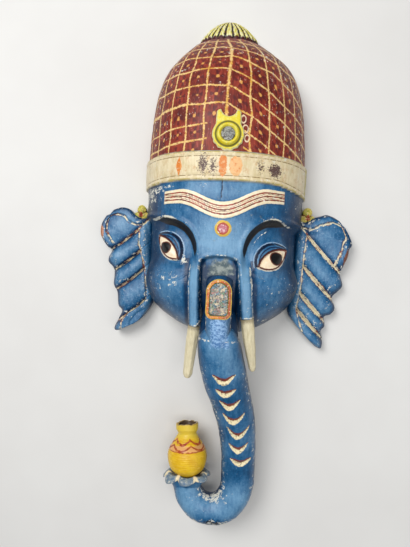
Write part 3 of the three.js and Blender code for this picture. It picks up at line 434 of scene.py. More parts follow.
def band_relief(x, y):
    up = band_place(x, y)
    rise = smooth(-BAND_EDGE / 2, BAND_EDGE / 2, up)
    fall = smooth(BAND_HEIGHT + BAND_EDGE / 2, BAND_HEIGHT - BAND_EDGE / 2, up)
    lines = bump((up - 7) / 1.6) + bump((up - BAND_HEIGHT + 6) / 1.6)
    return BAND_RISE * rise * fall - 0.8 * lines


def crack_distance(x, y):
    return x + 3 + 0.4 * np.sin(y / 5) + 0.3 * np.sin(y / 1.7)


def cheek_crease(x, y, width):
    """1 along the crease under the left cheek's upper swell."""
    off = x - CREASE_X
    height = y - CREASE_END_Y + CREASE_DROP * np.clip(1 - (off / CREASE_HALF_LENGTH) ** 2, -2, 1)
    return bump(height / width) * smooth(CREASE_HALF_LENGTH + 3, CREASE_HALF_LENGTH - 3, np.abs(off))


def head_relief(x, y, turn, p):
    """Height of all the carving above the smooth head, but for the sheaths."""
    distance, _ = tilak_place(x, y)
    bindi = np.hypot(x - BINDI_X, y - BINDI_Y)
    mark = 1.3 * smooth(1.2, -0.8, distance) + 1.6 * smooth(BINDI_RADIUS + 0.5, BINDI_RADIUS - 2.5, bindi)
    cheek = CHEEK_RISE * bump(np.hypot(np.abs(x) - CHEEK_X, (y - CHEEK_Y) * 0.9) / CHEEK_RADIUS)
    fold = -0.9 * cheek_crease(x, y, 2.6)
    face = mark + eye_relief(x, y) + cheek + fold + arch_relief(x, y)
    crown = jewel_relief(x, y) + finial_relief(y, turn)
    split = 0.8 * bump(crack_distance(x, y) / 1.2) * smooth(94, 104, y) * smooth(127, 123, y)
    uneven = 0.8 * noise(p, 38, 1) + 0.3 * noise(p, 11, 2)
    return band_relief(x, y) + np.where(y > BAND_TOP_Y, crown, face - split) + uneven


def normals_of(points):
    down = np.gradient(points, axis=0)
    side = np.gradient(points, axis=1)
    n = np.cross(side, down)
    return n / np.maximum(np.linalg.norm(n, axis=-1, keepdims=True), 1e-9)


def carve_head(y, turn):
    p = smooth_head(y, turn)
    n = normals_of(p)
    fade = smooth(0, RIM_FADE, p[..., 2])
    height = head_relief(p[..., 0], y, turn, p) * fade
    out = p + n * height[..., None]
    out[..., 2] += np.where(y < BAND_TOP_Y, sheath_relief(p[..., 0], y), 0)
    out[..., 2] = np.maximum(out[..., 2], 0)
    out[..., 1] += FINIAL_STRETCH * np.maximum(0, y - CROWN_TOP_Y)
    return p, out


def head_rows():
    return np.concatenate(
        [
            CHIN_Y + 0.5 + 14 * (1 - np.cos(np.linspace(0, math.pi / 2, 12, endpoint=False))),
            np.linspace(CHIN_Y + 14.5, CROWN_LOW_Y - 3, 152, endpoint=False),
            np.linspace(CROWN_LOW_Y - 3, BAND_TOP_Y + 3, 30, endpoint=False),
            np.linspace(BAND_TOP_Y + 3, JEWEL_TOP_Y, 38, endpoint=False),
            np.linspace(JEWEL_TOP_Y, CROWN_TOP_Y - 6, 54, endpoint=False),
            np.linspace(CROWN_TOP_Y - 6, CROWN_TOP_Y + 6, 12, endpoint=False),
            mix(CROWN_TOP_Y + 6, FINIAL_TOP_Y - 0.4, np.sin(np.linspace(0, math.pi / 2, 34))),
        ]
    )


def head_turns():
    share = np.linspace(0, 0.8, 80)
    front = np.arcsin(share ** (FULLNESS / 2)) * 2 / math.pi
    half = np.concatenate([front, np.linspace(front[-1], 1, 30)[1:]])
    return np.concatenate([-half[:0:-1], half])


INSIDE_COLUMNS = 34
HOLLOW_ROUNDING = 46.0


def hollow_ring(rows):
    """The inside, from one side of the rim to the other, for as many rows as the outside has."""
    low, high = CHIN_Y + WALL, CROWN_TOP_Y - WALL
    share = (rows - rows[0]) / (rows[-1] - rows[0])
    y = mix(low, high, share)[:, None]
    width, depth = section(np.maximum(y, JAW_Y))
    below = np.clip((JAW_Y - y) / (CHIN_DROP - WALL), 0, 1)
    above = np.clip((y - high + HOLLOW_ROUNDING) / HOLLOW_ROUNDING, 0, 1)
    closing = np.sqrt(1 - below**2) * np.sqrt(1 - above**2)
    angle = np.linspace(math.pi / 2, -math.pi / 2, INSIDE_COLUMNS)[None, :]
    x = FINIAL_X * bend_at(y) + (width - WALL) * np.sin(angle) * closing
    z = (depth - FRONT_WALL) * np.cos(angle) * closing
    p = np.stack([x, y + 0 * x, z], -1)
    p[..., 2] += 0.8 * noise(p, 9, 5) * smooth(0, 8, z)
    return p


def blurred(values, steps):
    for axis in (0, 1):
        for _ in range(3):
            padded = np.pad(values, [(steps, steps) if a == axis else (0, 0) for a in (0, 1)], mode="edge")
            total = np.cumsum(padded, axis=axis)
            total = np.insert(total, 0, 0, axis=axis)
            size = 2 * steps + 1
            upper = np.take(total, np.arange(size, total.shape[axis]), axis=axis)
            lower = np.take(total, np.arange(0, total.shape[axis] - size), axis=axis)
            values = (upper - lower) / size
    return values


# Meshes


def make_mesh(name, points, faces, attributes, material):
    mesh = bpy.data.meshes.new(name)
    mesh.from_pydata(to_metres(points).tolist(), [], faces)
    for key, values in attributes.items():
        layer = mesh.attributes.new(key, "FLOAT", "POINT")
        layer.data.foreach_set("value", np.asarray(values, np.float32))
    mesh.polygons.foreach_set("use_smooth", np.ones(len(mesh.polygons), bool))
    mesh.materials.append(material)
    mesh.update()
    thing = bpy.data.objects.new(name, mesh)
    bpy.context.scene.collection.objects.link(thing)
    return thing


def skin(rings, attributes):
    """A closed skin through rings, an array of rows, places round each row, and x, y, z."""
    rows, sides = rings.shape[:2]
    index = np.arange(rows * sides).reshape(rows, sides)
    right = np.roll(index, -1, axis=1)
    quads = np.stack([index[:-1], right[:-1], right[1:], index[1:]], -1).reshape(-1, 4)
    start, end = rows * sides, rows * sides + 1
    first = np.stack([right[0], index[0], np.full(sides, start)], -1)
    last = np.stack([index[-1], right[-1], np.full(sides, end)], -1)
    points = np.concatenate([rings.reshape(-1, 3), [rings[0].mean(0), rings[-1].mean(0)]])
    flat = {key: np.concatenate([v.ravel(), [v[0].mean(), v[-1].mean()]]) for key, v in attributes.items()}
    faces = quads.tolist() + first.tolist() + last.tolist()
    a, b, c = (points[quads[:, k]] for k in (0, 1, 2))
    if np.einsum("ij,ij->i", a, np.cross(b, c)).sum() < 0:
        faces = [face[::-1] for face in faces]
    return points, faces, flat


def make_piece(name, skins, material):
    """One object from one or more skins that overlap."""
    points, faces, attributes = [], [], {}
    skins = [skin(*each) for each in skins]
    keys = {key for _, _, values in skins for key in values}
    for some_points, some_faces, values in skins:
        start = sum(len(p) for p in points)
        faces += [[start + k for k in face] for face in some_faces]
        points.append(some_points)
        for key in keys:
            attributes.setdefault(key, []).append(values.get(key, np.zeros(len(some_points))))
    joined = {key: np.concatenate(values) for key, values in sorted(attributes.items())}
    return make_mesh(name, np.concatenate(points), faces, joined, material)


def belongs(thing, slot, *nodes):
    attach(thing, "root")
    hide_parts(*nodes)
    return thing


# Paint


def srgb(r, g, b):
    """A colour given as it looks on screen, 0 to 255."""
    return tuple((c / 255 / 12.92) if c < 11 else ((c / 255 + 0.055) / 1.055) ** 2.4 for c in (r, g, b))


BLUE = srgb(28, 90, 134)
BLUE_DARK = srgb(4, 44, 78)
BLUE_LIGHT = srgb(112, 156, 188)
CREAM = srgb(230, 214, 176)
CHALK = srgb(222, 220, 206)
WOOD = srgb(64, 44, 32)
MAROON = srgb(150, 56, 38)
MAROON_DARK = srgb(94, 28, 20)
OCHRE = srgb(206, 152, 60)
YELLOW = srgb(214, 194, 40)
BLACK = srgb(30, 28, 27)
SHEEN = 0.32


class Value:
    """What comes out of a shader node: a number or a colour that varies over the surface."""

    def __init__(self, paint, socket):
        self.paint, self.socket = paint, socket

    def __add__(self, other):
        return self.paint.math("ADD", self, other)

    def __sub__(self, other):
        return self.paint.math("SUBTRACT", self, other)

    def __mul__(self, other):
        return self.paint.math("MULTIPLY", self, other)

    def __abs__(self):
        return self.paint.math("ABSOLUTE", self)

    def below(self, edge, soft=0.4):
        """1 where the value is less than edge."""
        ends = {"From Min": edge - soft, "From Max": edge + soft, "To Min": 1.0, "To Max": 0.0}
        node = self.paint.node("MapRange", {"Value": self, **ends}, interpolation_type="SMOOTHSTEP")
        return Value(self.paint, node.outputs[0])

    def above(self, edge, soft=0.4):
        return self.paint.math("SUBTRACT", 1.0, self.below(edge, soft))


class Paint:
    """One material, built up from layers of colour. Sizes in it are millimetres."""

    def __init__(self, name, roughness=0.42, bump=0.3):
        self.material = bpy.data.materials.new(name)
        self.material.use_nodes = True
        self.tree = self.material.node_tree
        self.shader = self.tree.nodes["Principled BSDF"]
        self.feed(self.shader, {"Roughness": roughness, "Specular IOR Level": SHEEN})
        self.bump_strength = bump
        place = Value(self, self.node("TexCoord", {}).outputs["Object"])
        scaled = self.node("VectorMath", {0: place, "Scale": 1000}, operation="SCALE")
        self.place = Value(self, scaled.outputs[0])

    def feed(self, node, inputs):
        for key, value in inputs.items():
            if isinstance(value, Value):
                self.tree.links.new(value.socket, node.inputs[key])
            else:
                node.inputs[key].default_value = (*value, 1) if isinstance(value, tuple) else value

    def node(self, kind, inputs, **settings):
        node = self.tree.nodes.new("ShaderNode" + kind)
        for key, value in settings.items():
            setattr(node, key, value)
        self.feed(node, inputs)
        return node

    def __getitem__(self, name):
        """The mesh's own values of that name."""
        return Value(self, self.node("Attribute", {}, attribute_name=name).outputs["Fac"])

    def math(self, operation, *values):
        return Value(self, self.node("Math", dict(enumerate(values)), operation=operation).outputs[0])

    def noise(self, size, detail=3.0, rough=0.6, stretch=(1, 1, 1)):
        """Values round 0, mostly from -0.5 to 0.5."""
        scale = [1 / (size * s) for s in stretch]
        place = Value(self, self.node("Mapping", {"Vector": self.place, "Scale": scale}).outputs[0])
        inputs = {"Vector": place, "Scale": 1, "Detail": detail, "Roughness": rough}
        texture = Value(self, self.node("TexNoise", inputs).outputs["Fac"])
        return self.math("MULTIPLY_ADD", texture, 2.0, -1.0)

    def layer(self, mask, under, over):
        node = self.node("Mix", {}, data_type="RGBA")
        self.feed(node, {0: mask, 6: under, 7: over})
        return Value(self, node.outputs[2])

    def chipped(self, colour, wear, ground=CHALK):
        """The colour with its chips: down to the white ground, and in the middle of some to the wood."""
        level = self.noise(5.5, 5, 0.68) + self.noise(1.5, 3, 0.65) * 0.45 + wear
        chips = level.above(0.52, 0.05)
        return self.layer(level.above(0.92, 0.05), self.layer(chips, colour, ground), WOOD), chips

    def brushed(self, chips):
        """Height of the brush marks, with the chips sunk in."""
        return self.noise(2.2, 4, 0.65) * 0.5 - chips * 0.6

    def gloss(self, chips, base=0.34, loss=0.3):
        return self.noise(12, 3) * 0.16 + base + chips * loss

    def finish(self, colour, roughness=None, height=None, bump_distance=0.6, metallic=0.0):
        self.feed(self.shader, {"Base Color": colour, "Metallic": metallic})
        if roughness is not None:
            self.feed(self.shader, {"Roughness": roughness})
        if height is not None:
            sizes = {"Strength": self.bump_strength, "Distance": bump_distance / 1000}
            node = self.node("Bump", {**sizes, "Height": height})
            self.feed(self.shader, {"Normal": Value(self, node.outputs[0])})
        return self.material


def shaded_worn_blue(paint, tone):
    """Glossy blue with painted light and shade: navy in the hollows and wherever the tone is low (painted
    shade), pale where it is high (painted highlights), mottled at random, with fine pale scratches of wear.
    """
    broad = paint.noise(44, 3)
    strokes = paint.noise(4.5, 4, 0.65, (1, 3, 2))
    mottle = paint.noise(2.6, 4, 0.7)
    level = tone + broad * 0.6 + strokes * 0.45 + mottle * 0.3
    colour = paint.layer(level.above(-0.2, 0.5), BLUE_DARK, BLUE)
    colour = paint.layer(level.above(0.5, 0.6), colour, BLUE_LIGHT)
    for stretch in ((1, 14, 2), (12, 1.2, 2)):
        scratch = paint.noise(1.1, 2, 0.6, stretch).above(0.46, 0.08)
        worn = (paint.noise(21, 3, 0.6, stretch) + tone * 0.5).above(0.05, 0.2)
        colour = paint.layer(scratch * worn * 0.6, colour, srgb(158, 188, 214))
    return colour


def head_paint():
    paint = Paint("head_paint", bump=0.45)
    wobble = paint.noise(4, 3, 0.6)

    def near(name, edge, soft=0.35, rough=0.7):
        return (paint[name] + wobble * rough).below(edge, soft)

    # The blue, with painted light and shade from the tone values
    colour = shaded_worn_blue(paint, paint["tone"])
    # A mottled grey-green patch at the top of the recess under the arch
    smudge = (paint["smudge"] + paint.noise(8, 4) * 0.8).above(0.36, 0.25)
    grey = paint.layer(paint.noise(7, 4, 0.7).above(0.02, 0.2), srgb(58, 78, 84), srgb(136, 144, 138))
    colour = paint.layer(smudge, colour, grey)
    colour = paint.layer(near("crack", 0.9, 0.4, 0.8), colour, srgb(14, 34, 62))

    colour = paint.layer(near("brow", 0.0, 0.5), colour, BLACK)
    pale_line = near("brow_line", 0.0, 0.4, 1.2) * paint.noise(11, 3, 0.6, (1, 2, 1)).above(-0.18, 0.1)
    colour = paint.layer(pale_line, colour, srgb(216, 212, 194))

    cream = paint.layer(paint.noise(6, 4).above(0.1, 0.4), CREAM, srgb(242, 230, 206))
    red = paint.layer(paint.noise(7, 3).above(0.0, 0.2), srgb(92, 44, 36), srgb(160, 66, 46))
    cream = paint.layer((abs(paint["tilak_line"]) + wobble * 0.9).below(0.95, 0.3), cream, red)
    colour = paint.layer(near("tilak", 0.0, 0.3, 0.9), colour, cream)

    colour = paint.layer(near("bindi", 11.2, 0.3, 1.2), colour, srgb(214, 178, 76))
    colour = paint.layer(near("bindi", 8.0, 0.4, 1.4), colour, srgb(168, 66, 46))
    middle = paint.layer(paint.noise(3.4, 3, 0.6).above(0.02, 0.1), srgb(178, 96, 110), srgb(224, 188, 188))
    colour = paint.layer(near("bindi", 5.4, 0.5, 2.4), colour, middle)

    drawn = paint.noise(8, 3, 0.6).above(-0.3, 0.15)
    lid_lines = [(0.6, 1.5, srgb(12, 28, 52)), (-3.4, 0.9, srgb(18, 40, 74))]
    for at, width, shade in [*lid_lines, (2.9, 0.55, srgb(150, 176, 200))]:
        off = abs(paint["lid"] + wobble * 0.9 - at)
        colour = paint.layer(off.below(width, 0.5) * drawn * paint["lid_part"], colour, shade)
    # The dark band along the upper lid: the painted liner, and painted shade from the lid at the top of the
    # eye
    colour = paint.layer(near("eye_top", 3.2, 0.5, 0.8), colour, srgb(48, 26, 26))
    colour = paint.layer(near("eye_top", 1.4, 0.4, 0.8), colour, srgb(120, 52, 38))
    under_eye = paint.layer(drawn, BLUE_DARK, srgb(214, 208, 190))
    colour = paint.layer(near("eye_low", 3.4, 0.4, 1.2), colour, under_eye)
    colour = paint.layer(near("eye_low", 1.9, 0.4, 0.6), colour, srgb(92, 44, 34))
    inner = paint.layer(paint.noise(5, 3).above(0.1, 0.4), srgb(236, 214, 178), srgb(240, 228, 206))
    colour = paint.layer(near("eye", -0.3, 0.3, 0.5), colour, inner)
    in_eye = paint["eye"].below(0.2, 0.3)
    colour = paint.layer(near("pupil", 0.4, 0.4, 0.5) * in_eye, colour, srgb(98, 50, 34))
    colour = paint.layer(near("pupil", -1.0, 0.3, 0.4) * in_eye, colour, srgb(16, 14, 14))

    on_crown = paint["height"].above(BAND_TOP_Y + 0.5, 0.5)
    colour = paint.layer(on_crown, colour, crown_colour(paint, wobble))
    colour = paint.layer(near("jewel", 0.2, 0.3, 0.8) * on_crown, colour, jewel_colour(paint))
    colour = paint.layer(paint["on_band"], colour, band_colour(paint, wobble))
    colour = paint.layer(paint["height"].above(CROWN_TOP_Y - 0.5, 0.8), colour, finial_colour(paint))

    colour, chips = paint.chipped(colour, paint["wear"])
    colour = paint.layer(paint["inside"], colour, inside_colour(paint))
    rough = paint.gloss(chips, loss=0.35) + on_crown * 0.16
    rough = paint.math("MAXIMUM", rough, paint["inside"] * 0.85)
    return paint.finish(colour, rough, paint.brushed(chips))


def crown_colour(paint, wobble):
    grain = paint.noise(2.4, 3, 0.6, (1, 10, 3)) + paint.noise(26, 3) * 0.8
    colour = paint.layer(grain.above(0.05, 0.5), MAROON_DARK, MAROON)
    colour = paint.layer(paint.noise(1.6, 3, 0.6, (1, 8, 2)).above(0.3, 0.12), colour, srgb(158, 72, 62))
    colour = paint.layer(paint.noise(1.3, 3, 0.6, (1, 12, 2)).above(0.36, 0.1), colour, srgb(60, 18, 24))

    dot = paint["dot"] + paint.noise(2.6, 3, 0.6) * 1.6
    petals = dot.below(8.2, 1.0) * paint["petal"].above(0.1, 0.25) * paint["latticed"]
    colour = paint.layer(petals * 0.7, colour, srgb(74, 22, 28))
    dots = dot.below(2.3, 0.5) * paint["latticed"] * paint.noise(17, 2).above(-0.3, 0.1)
    colour = paint.layer(dots, colour, srgb(206, 148, 76))

    lines = []
    ragged = wobble * 1.8 + paint.noise(1.6, 3, 0.65) * 1.8
    for name, size in (("lattice_u", paint["cell"]), ("lattice_v", LATTICE_CELL_HEIGHT)):
        off = paint.math("PINGPONG", paint[name], 0.5)
        lines.append(off * size + ragged)
    nearest = paint.math("MINIMUM", *lines)
    drawn = nearest.below(1.15, 0.45) * paint.noise(6, 4, 0.7).above(-0.36, 0.12)
    tone = paint.noise(7, 4, 0.65) + paint["pale"]
    ochre = paint.layer(tone.above(0.0, 0.2), OCHRE, srgb(226, 190, 124))
    ochre = paint.layer(paint.noise(2.4, 3).above(0.3, 0.1), ochre, srgb(140, 84, 44))
    colour = paint.layer(drawn * paint["latticed"], colour, ochre)

    loop = (abs(paint["loop"]) + wobble * 0.8).below(0.6, 0.3)
    colour = paint.layer(loop, colour, srgb(222, 196, 162))
    scratch = paint.noise(1.6, 3, 0.65, (1, 3.5, 2)).above(0.38, 0.05)
    where = (paint.noise(16, 3) + paint["pale"]).above(0.02, 0.15)
    return paint.layer(scratch * where, colour, srgb(226, 212, 190))


def jewel_colour(paint):
    colour = paint.layer(paint.noise(6, 4).above(0.1, 0.3), YELLOW, srgb(222, 214, 96))
    edge = (paint["jewel"] + paint.noise(2.4, 4, 0.7) * 2.2).above(-1.3, 0.5)
    colour = paint.layer(edge, colour, srgb(208, 202, 150))
    # An olive circle in the groove round the ring: painted shade
    ring = abs(paint["ring"] - (RING_RADIUS + 1.6))
    return paint.layer(ring.below(1.3, 0.6), colour, srgb(104, 98, 20))


def band_colour(paint, wobble):
    streak = paint.noise(4, 4, 0.6, (1, 4, 2))
    colour = paint.layer(streak.above(0.0, 0.5), srgb(204, 186, 142), srgb(228, 214, 180))
    stain_and_shade = paint.noise(10, 4, 0.65).above(0.2, 0.2) * paint.noise(2, 3).above(-0.1, 0.3) * 0.7
    colour = paint.layer(stain_and_shade, colour, srgb(196, 152, 104))
    edge = abs(paint["band_up"] - BAND_HEIGHT / 2)
    gilt = edge.above(BAND_HEIGHT / 2 - 2.5, 0.6) * paint.noise(7, 4).above(-0.02, 0.2)
    colour = paint.layer(gilt, colour, srgb(186, 168, 100))
    line = abs(edge - (BAND_HEIGHT / 2 - 6.4))
    colour = paint.layer(line.below(0.6, 0.3) * wobble.above(-0.1, 0.2), colour, srgb(128, 104, 62))
    orange = (paint["band_orange"] + wobble * 2.2).below(0.0, 0.6)
    fresh = paint.noise(5, 4) + paint["band_faded"]
    fresh = paint.layer(fresh.above(0.2, 0.25), srgb(210, 120, 44), srgb(226, 176, 118))
    colour = paint.layer(orange * paint.noise(2.2, 4, 0.7).above(-0.22, 0.1), colour, fresh)
    speck = paint["band_dark"] + paint.noise(2.6, 4, 0.8) * 17.0
    colour = paint.layer(speck.below(-1.0, 0.8), colour, srgb(92, 70, 64))
    return paint.layer(paint["band_end"], colour, srgb(178, 162, 60))


def finial_colour(paint):
    flute = paint["flute"]
    # Pale cream streaks on the yellow: painted highlights on the glossy flutes, mixed with the paint's own
    # streaking
    streak = paint.noise(2.6, 3, 0.6, (1, 9, 3))
    colour = paint.layer(streak.above(0.0, 0.15), srgb(204, 190, 52), srgb(234, 228, 172))
    groove = (flute + paint.noise(3, 3) * 0.5).below(0.52, 0.08)
    ink = paint.layer(paint.noise(6, 2).above(0.1, 0.2), srgb(24, 22, 20), srgb(88, 34, 26))
    colour = paint.layer(groove, colour, ink)
    colour = paint.layer(paint.noise(2.2, 3, 0.6, (1, 3, 2)).above(0.34, 0.08), colour, srgb(226, 222, 200))
    foot = (paint["height"] - flute * 3.0).below(CROWN_TOP_Y + 2.4, 0.8)
    return paint.layer(foot, colour, srgb(70, 20, 24))


def inside_colour(paint):
    grain = paint.noise(5, 4, 0.6, (1, 14, 1))
    return paint.layer(grain.above(0.0, 0.6), srgb(92, 62, 40), srgb(142, 102, 66))


def lattice_place(p, turn):
    """Where each point lies in the crown's painted lattice, in cells, and a cell's width there."""
    x, y = p[..., 0], p[..., 1]
    right = mix(0.3, 0.56, smooth(310, 230, y)) * x
    level = y + np.where(x > 0, right, 0.1 * -x * smooth(240, 200, y)) + 2.2 * noise(p, 24, 21)
    width, depth = section(y)
    slant = np.hypot(width * np.cos(turn * math.pi / 2), depth * np.sin(turn * math.pi / 2))
    cell = slant * math.pi / 2 * LATTICE_TURN
    u = turn / LATTICE_TURN + 2.0 * noise(p, 26, 22) / np.maximum(cell, 6)
    v = np.interp(level, LATTICE_ROWS, np.arange(len(LATTICE_ROWS)))
    return u, v, cell


def lattice_dot(u, v, cell):
    """Distance to the middle of a cell, and the four petals round it."""
    du = (u - np.floor(u) - 0.5) * cell
    dv = (v - np.floor(v) - 0.5) * LATTICE_CELL_HEIGHT
    return np.hypot(du, dv), np.cos(4 * np.arctan2(dv, du))


def loop_distance(x, y):
    """Signed distance to the oval loops painted beside the jewel."""
    return ovals_distance(x, y, [(21.5, 206, 3.2, 5.0), (24.5, 193, 3.6, 5.2), (27, 181, 3.0, 4.4)])


def band_marks(x, y):
    """Signed distances to the band's orange marks and to its dark worn patches."""
    middle = (CROWN_LOW_Y + BAND_TOP_Y) / 2
    dy = y - middle
    diamond = np.abs(x + 61) * 1.5 + np.abs(dy) * 0.5 - 6.5
    left = np.hypot((x + 3) / 6, dy / 14) * 6 - 6
    left = np.maximum(left, np.abs(x + 3) - 5)
    right = np.hypot((x - 14) / 8.5, dy / 13) ** 1.4 * 8.5 - 8.5
    orange = np.minimum(diamond, np.minimum(left, right))
    patches = [(-29, 2, 6, 12), (-16, -1, 4.5, 10), (66, -1, 9, 9), (46, 0, 3, 5)]
    return orange, ovals_distance(x, dy, patches)


def lines_on_face(x, y):
    """Where the paint is rubbed through in lines: along the sheaths, the recess and the cheeks."""
    off = np.abs(x - sheath_middle(x, y))
    half, foot_y = of_sheath(x, "half"), of_sheath(x, "foot_y")
    along_sheath = smooth(18, 6, y) * smooth(foot_y - 3, foot_y + 2, y)
    outward = np.sign(x - sheath_middle(x, y)) == np.sign(x)
    right = outward & (x > 0)
    sheath = bump((off - half * 0.93) / 1.7) * along_sheath * np.where(outward, 0.62, 0.4)
    sheath += 0.25 * bump((off - half * 0.97) / 2.2) * right * smooth(-24, -8, y) * smooth(16, 8, y)
    sheath += 0.5 * bump((y - foot_y - 1.5) / 2.2) * (off < half * 1.1)
    arch = 0.3 * bump((arch_distance(x, y) - 1.6) / 2.0) * smooth(-20, 10, y)
    socket, travel = brow_distance(x, y)
    inside = 0.56 * bump((socket + 11) / 1.5) * smooth(8, 24, travel) * smooth(72, 46, travel) * (x > 0)
    corner = 0.62 * spot(x, y, (-51, 16), (7.746, 7.746))
    cheek = 0.3 * cheek_crease(x, y, 2.2)
    specks = 0.13 * spot(x, y, (-70, -8), (16.125, 16.125))
    top = 0.34 * smooth(-60, -105, x) * smooth(84, 118, y) + 0.2 * smooth(112, 122, y)
    jaw = 0.22 * bump((y + 62 + 0.02 * np.abs(x)) / 3) * (np.abs(x) > 52)
    return np.max([sheath, arch, inside, corner, cheek, specks, top, jaw], axis=0)


def face_light_and_shade(x, y, turn):
    """Painted light and shade on the blue: painted highlights on the brow, the sheaths and the cheeks,
    painted shade in the sockets, the channels, the niche under the arch and at the sides.
    """
    forehead = 0.9 * spot(x, y, (2, 46), (48.99, 31.62))
    upper = 0.45 * smooth(96, 112, y) * smooth(62, 40, np.abs(x))
    off = np.abs(x - sheath_middle(x, y))
    sheath = 0.75 * smooth(of_sheath(x, "half"), 2, off) * smooth(24, 2, y)
    distance, _ = brow_distance(x, y)
    socket = -0.3 * smooth(0, -8, distance) * smooth(-24, 6, distance) * (y > 10)
    side = -0.9 * smooth(0.38, 0.75, np.abs(turn))
    outside = (off > of_sheath(x, "half") + 0.6) & (y < SHEATH_TOP_Y - 6)
    channel = np.where(outside, -1.0 * smooth(of_sheath(x, "half") + 9, of_sheath(x, "half") + 2, off), 0)
    niche = np.where(arch_distance(x, y) < -1, -0.8 * smooth(26, 2, y), 0)
    cheek = 0.25 * spot(np.abs(x), y, (74, -22), (30, 30))
    return forehead + upper + sheath + socket + side + channel + niche + cheek + 0.05


def brow_lines(x, y):
    """Signed distance to the thin pale lines over each brow's outer half."""
    distance, travel = brow_distance(x, y)
    thickness = np.where(x < 0, 1.5, 0.9) * smooth(48, 62, travel) * smooth(98, 90, travel)
    return np.abs(distance + 0.6 - brow_half(x, travel) - 0.6) - thickness + 0.4 * (thickness <= 0)


def build_head():
    rows, turns = head_rows(), head_turns()
    y, turn = np.meshgrid(rows, turns, indexing="ij")
    base, outside = carve_head(y, turn)
    inside = hollow_ring(rows)
    x = base[..., 0]
    n = normals_of(outside)
    sharp = (outside - np.stack([blurred(outside[..., a], 2) for a in range(3)], -1)) * n
    sharp = np.clip(sharp.sum(-1), -0.3, 0.25)
    right = 0.35 * smooth(20, 70, x) * smooth(345, 300, y)
    pale = 0.25 * smooth(-30, -90, x) + right + 0.25 * smooth(290, 330, y)
    calm = smooth(6, 14, eye_distance(x, y)) * smooth(2, 8, np.abs(brow_distance(x, y)[0]))
    on_face = (0.5 * sharp + 0.07) * calm + lines_on_face(x, y)
    wear = np.where(y < CROWN_LOW_Y - 4, on_face, 0.8 * sharp + 0.3 * pale)
    wear = np.where(eye_distance(x, y) < 5, -1, wear) + smooth(10, 2, base[..., 2]) * 0.2
    tilak, across = tilak_place(x, y)
    u, v, cell = lattice_place(base, turn)
    dot, petal = lattice_dot(u, v, cell)
    orange, dark = band_marks(x, y)
    upper_lid, lower_lid = eye_distances(x, y)
    eye = np.maximum(upper_lid, lower_lid)
    bare = (np.abs(x - JEWEL.x + 4) < 24) & (y < 206)
    outer = {
        "height": y + 0 * x,
        "band_up": band_place(x, y),
        "on_band": smooth(0.35 * BAND_RISE, 0.6 * BAND_RISE, band_relief(x, y)),
        "brow": brow_paint(x, y),
        "brow_line": brow_lines(x, y),
        "crack": np.abs(crack_distance(x, y)) + 9 * smooth(103, 96, y),
        "tilak": tilak,
        "tilak_line": (across * 2 - np.round(np.clip(across * 2, -1, 1))) * TILAK_HALF_HEIGHT / 2,
        "bindi": np.hypot(x - BINDI_X, y - BINDI_Y),
        "eye": eye,
        "eye_top": np.where(upper_lid >= lower_lid - 1.5, eye, 9),
        "eye_low": np.where(lower_lid > upper_lid, eye, 9),
        "lid": eye_distance(x, y, LID_GROWTH),
        "lid_part": np.where(upper_lid > lower_lid, smooth(1.5, 3.5, eye), 0),
        "pupil": pupil_distance(x, y),
        "jewel": jewel_distance(x, y),
        "ring": ring_distance(x, y),
        "loop": loop_distance(x, y),
        "band_orange": orange,
        "band_dark": dark,
        "band_faded": 0.4 * smooth(4, 8, x),
        "band_end": smooth(112.5, 114, x) * smooth(118.8, 118, x),
        "lattice_u": u + 20.0,
        "lattice_v": v,
        "cell": cell,
        "dot": dot,
        "petal": petal,
        "pale": pale,
        "latticed": np.where(bare, 0.0, smooth(CROWN_TOP_Y - 6, CROWN_TOP_Y - 9, y)),
        "flute": finial_flute(y, turn),
        "smudge": spot(x, y, (1, 8), (17.32, 11.4)),
        # tone: the painted light and shade of the blue face
        "tone": face_light_and_shade(x, y, turn),
        "wear": wear,
        "inside": 0 * x,
    }
    within = np.ones(inside.shape[:2])
    attributes = {
        key: np.concatenate([value, within * (1.0 if key == "inside" else 0.0)], axis=1)
        for key, value in outer.items()
    }
    rings = np.concatenate([outside, inside], axis=1)
    return belongs(make_piece("head_carving", [(rings, attributes)], head_paint()), "head_paint", "head")


# Trunk

RIDGE_TOP_Y, RIDGE_HALF_WIDTH, RIDGE_FRONT, RIDGE_HALF_DEPTH, LEDGE_Y = -4.0, 17.5, 30.0, 24.0, -86.0
TRUNK_HALF_WIDTH, TRUNK_HALF_DEPTH, TRUNK_END_RADIUS = 30.5, 26.0, 20.0
BEND = Vector((1.0, -306.0, 48.0))
BEND_HALF_WIDTH, BEND_HALF_HEIGHT, BEND_TURN = 38.0, 45.0, math.radians(172)
LIP_LENGTH, LIP_CUP_DEPTH, LIP_FLATTENING = 15.0, 3.5, 0.86
LIP_PETALS, LIP_ROWS = 7, 70
TABLET_X, TABLET_Y, TABLET_HALF_WIDTH, TABLET_HALF_LENGTH = 0.5, -32.0, 16.7, 26.0
TABLET_BORDER, TABLET_CORNER, TABLET_POCKET, TABLET_THICKNESS = 5.0, 4.0, 3.3, 2.0
FIT_GAP = 0.3
FLANK_DROP, FLANK_DEPTH = 22.0, 16.0
ROOT_Z = float(face_z(TABLET_X, np.array(TABLET_Y)))
TABLET_TOP_Z = ROOT_Z + RIDGE_FRONT + 1
NOTCH_ROOM = 10.2
NO_NOTCH, NO_STRIP = -20.0, 99.0

# Smile-shaped notches down the front: middle, half-width, low point, and how high their tips reach
NOTCHES = [
    (11.6, 15.5, -147.0, 14.5),
    (15.1, 14.3, -165.2, 12.0),
    (21.3, 14.6, -184.8, 15.0),
    (27.8, 16.3, -207.5, 18.0),
    (34.5, 16.5, -230.5, 21.0),
    (36.5, 14.5, -252.8, 15.5),
    (41.2, 15.1, -273.0, 12.0),
]


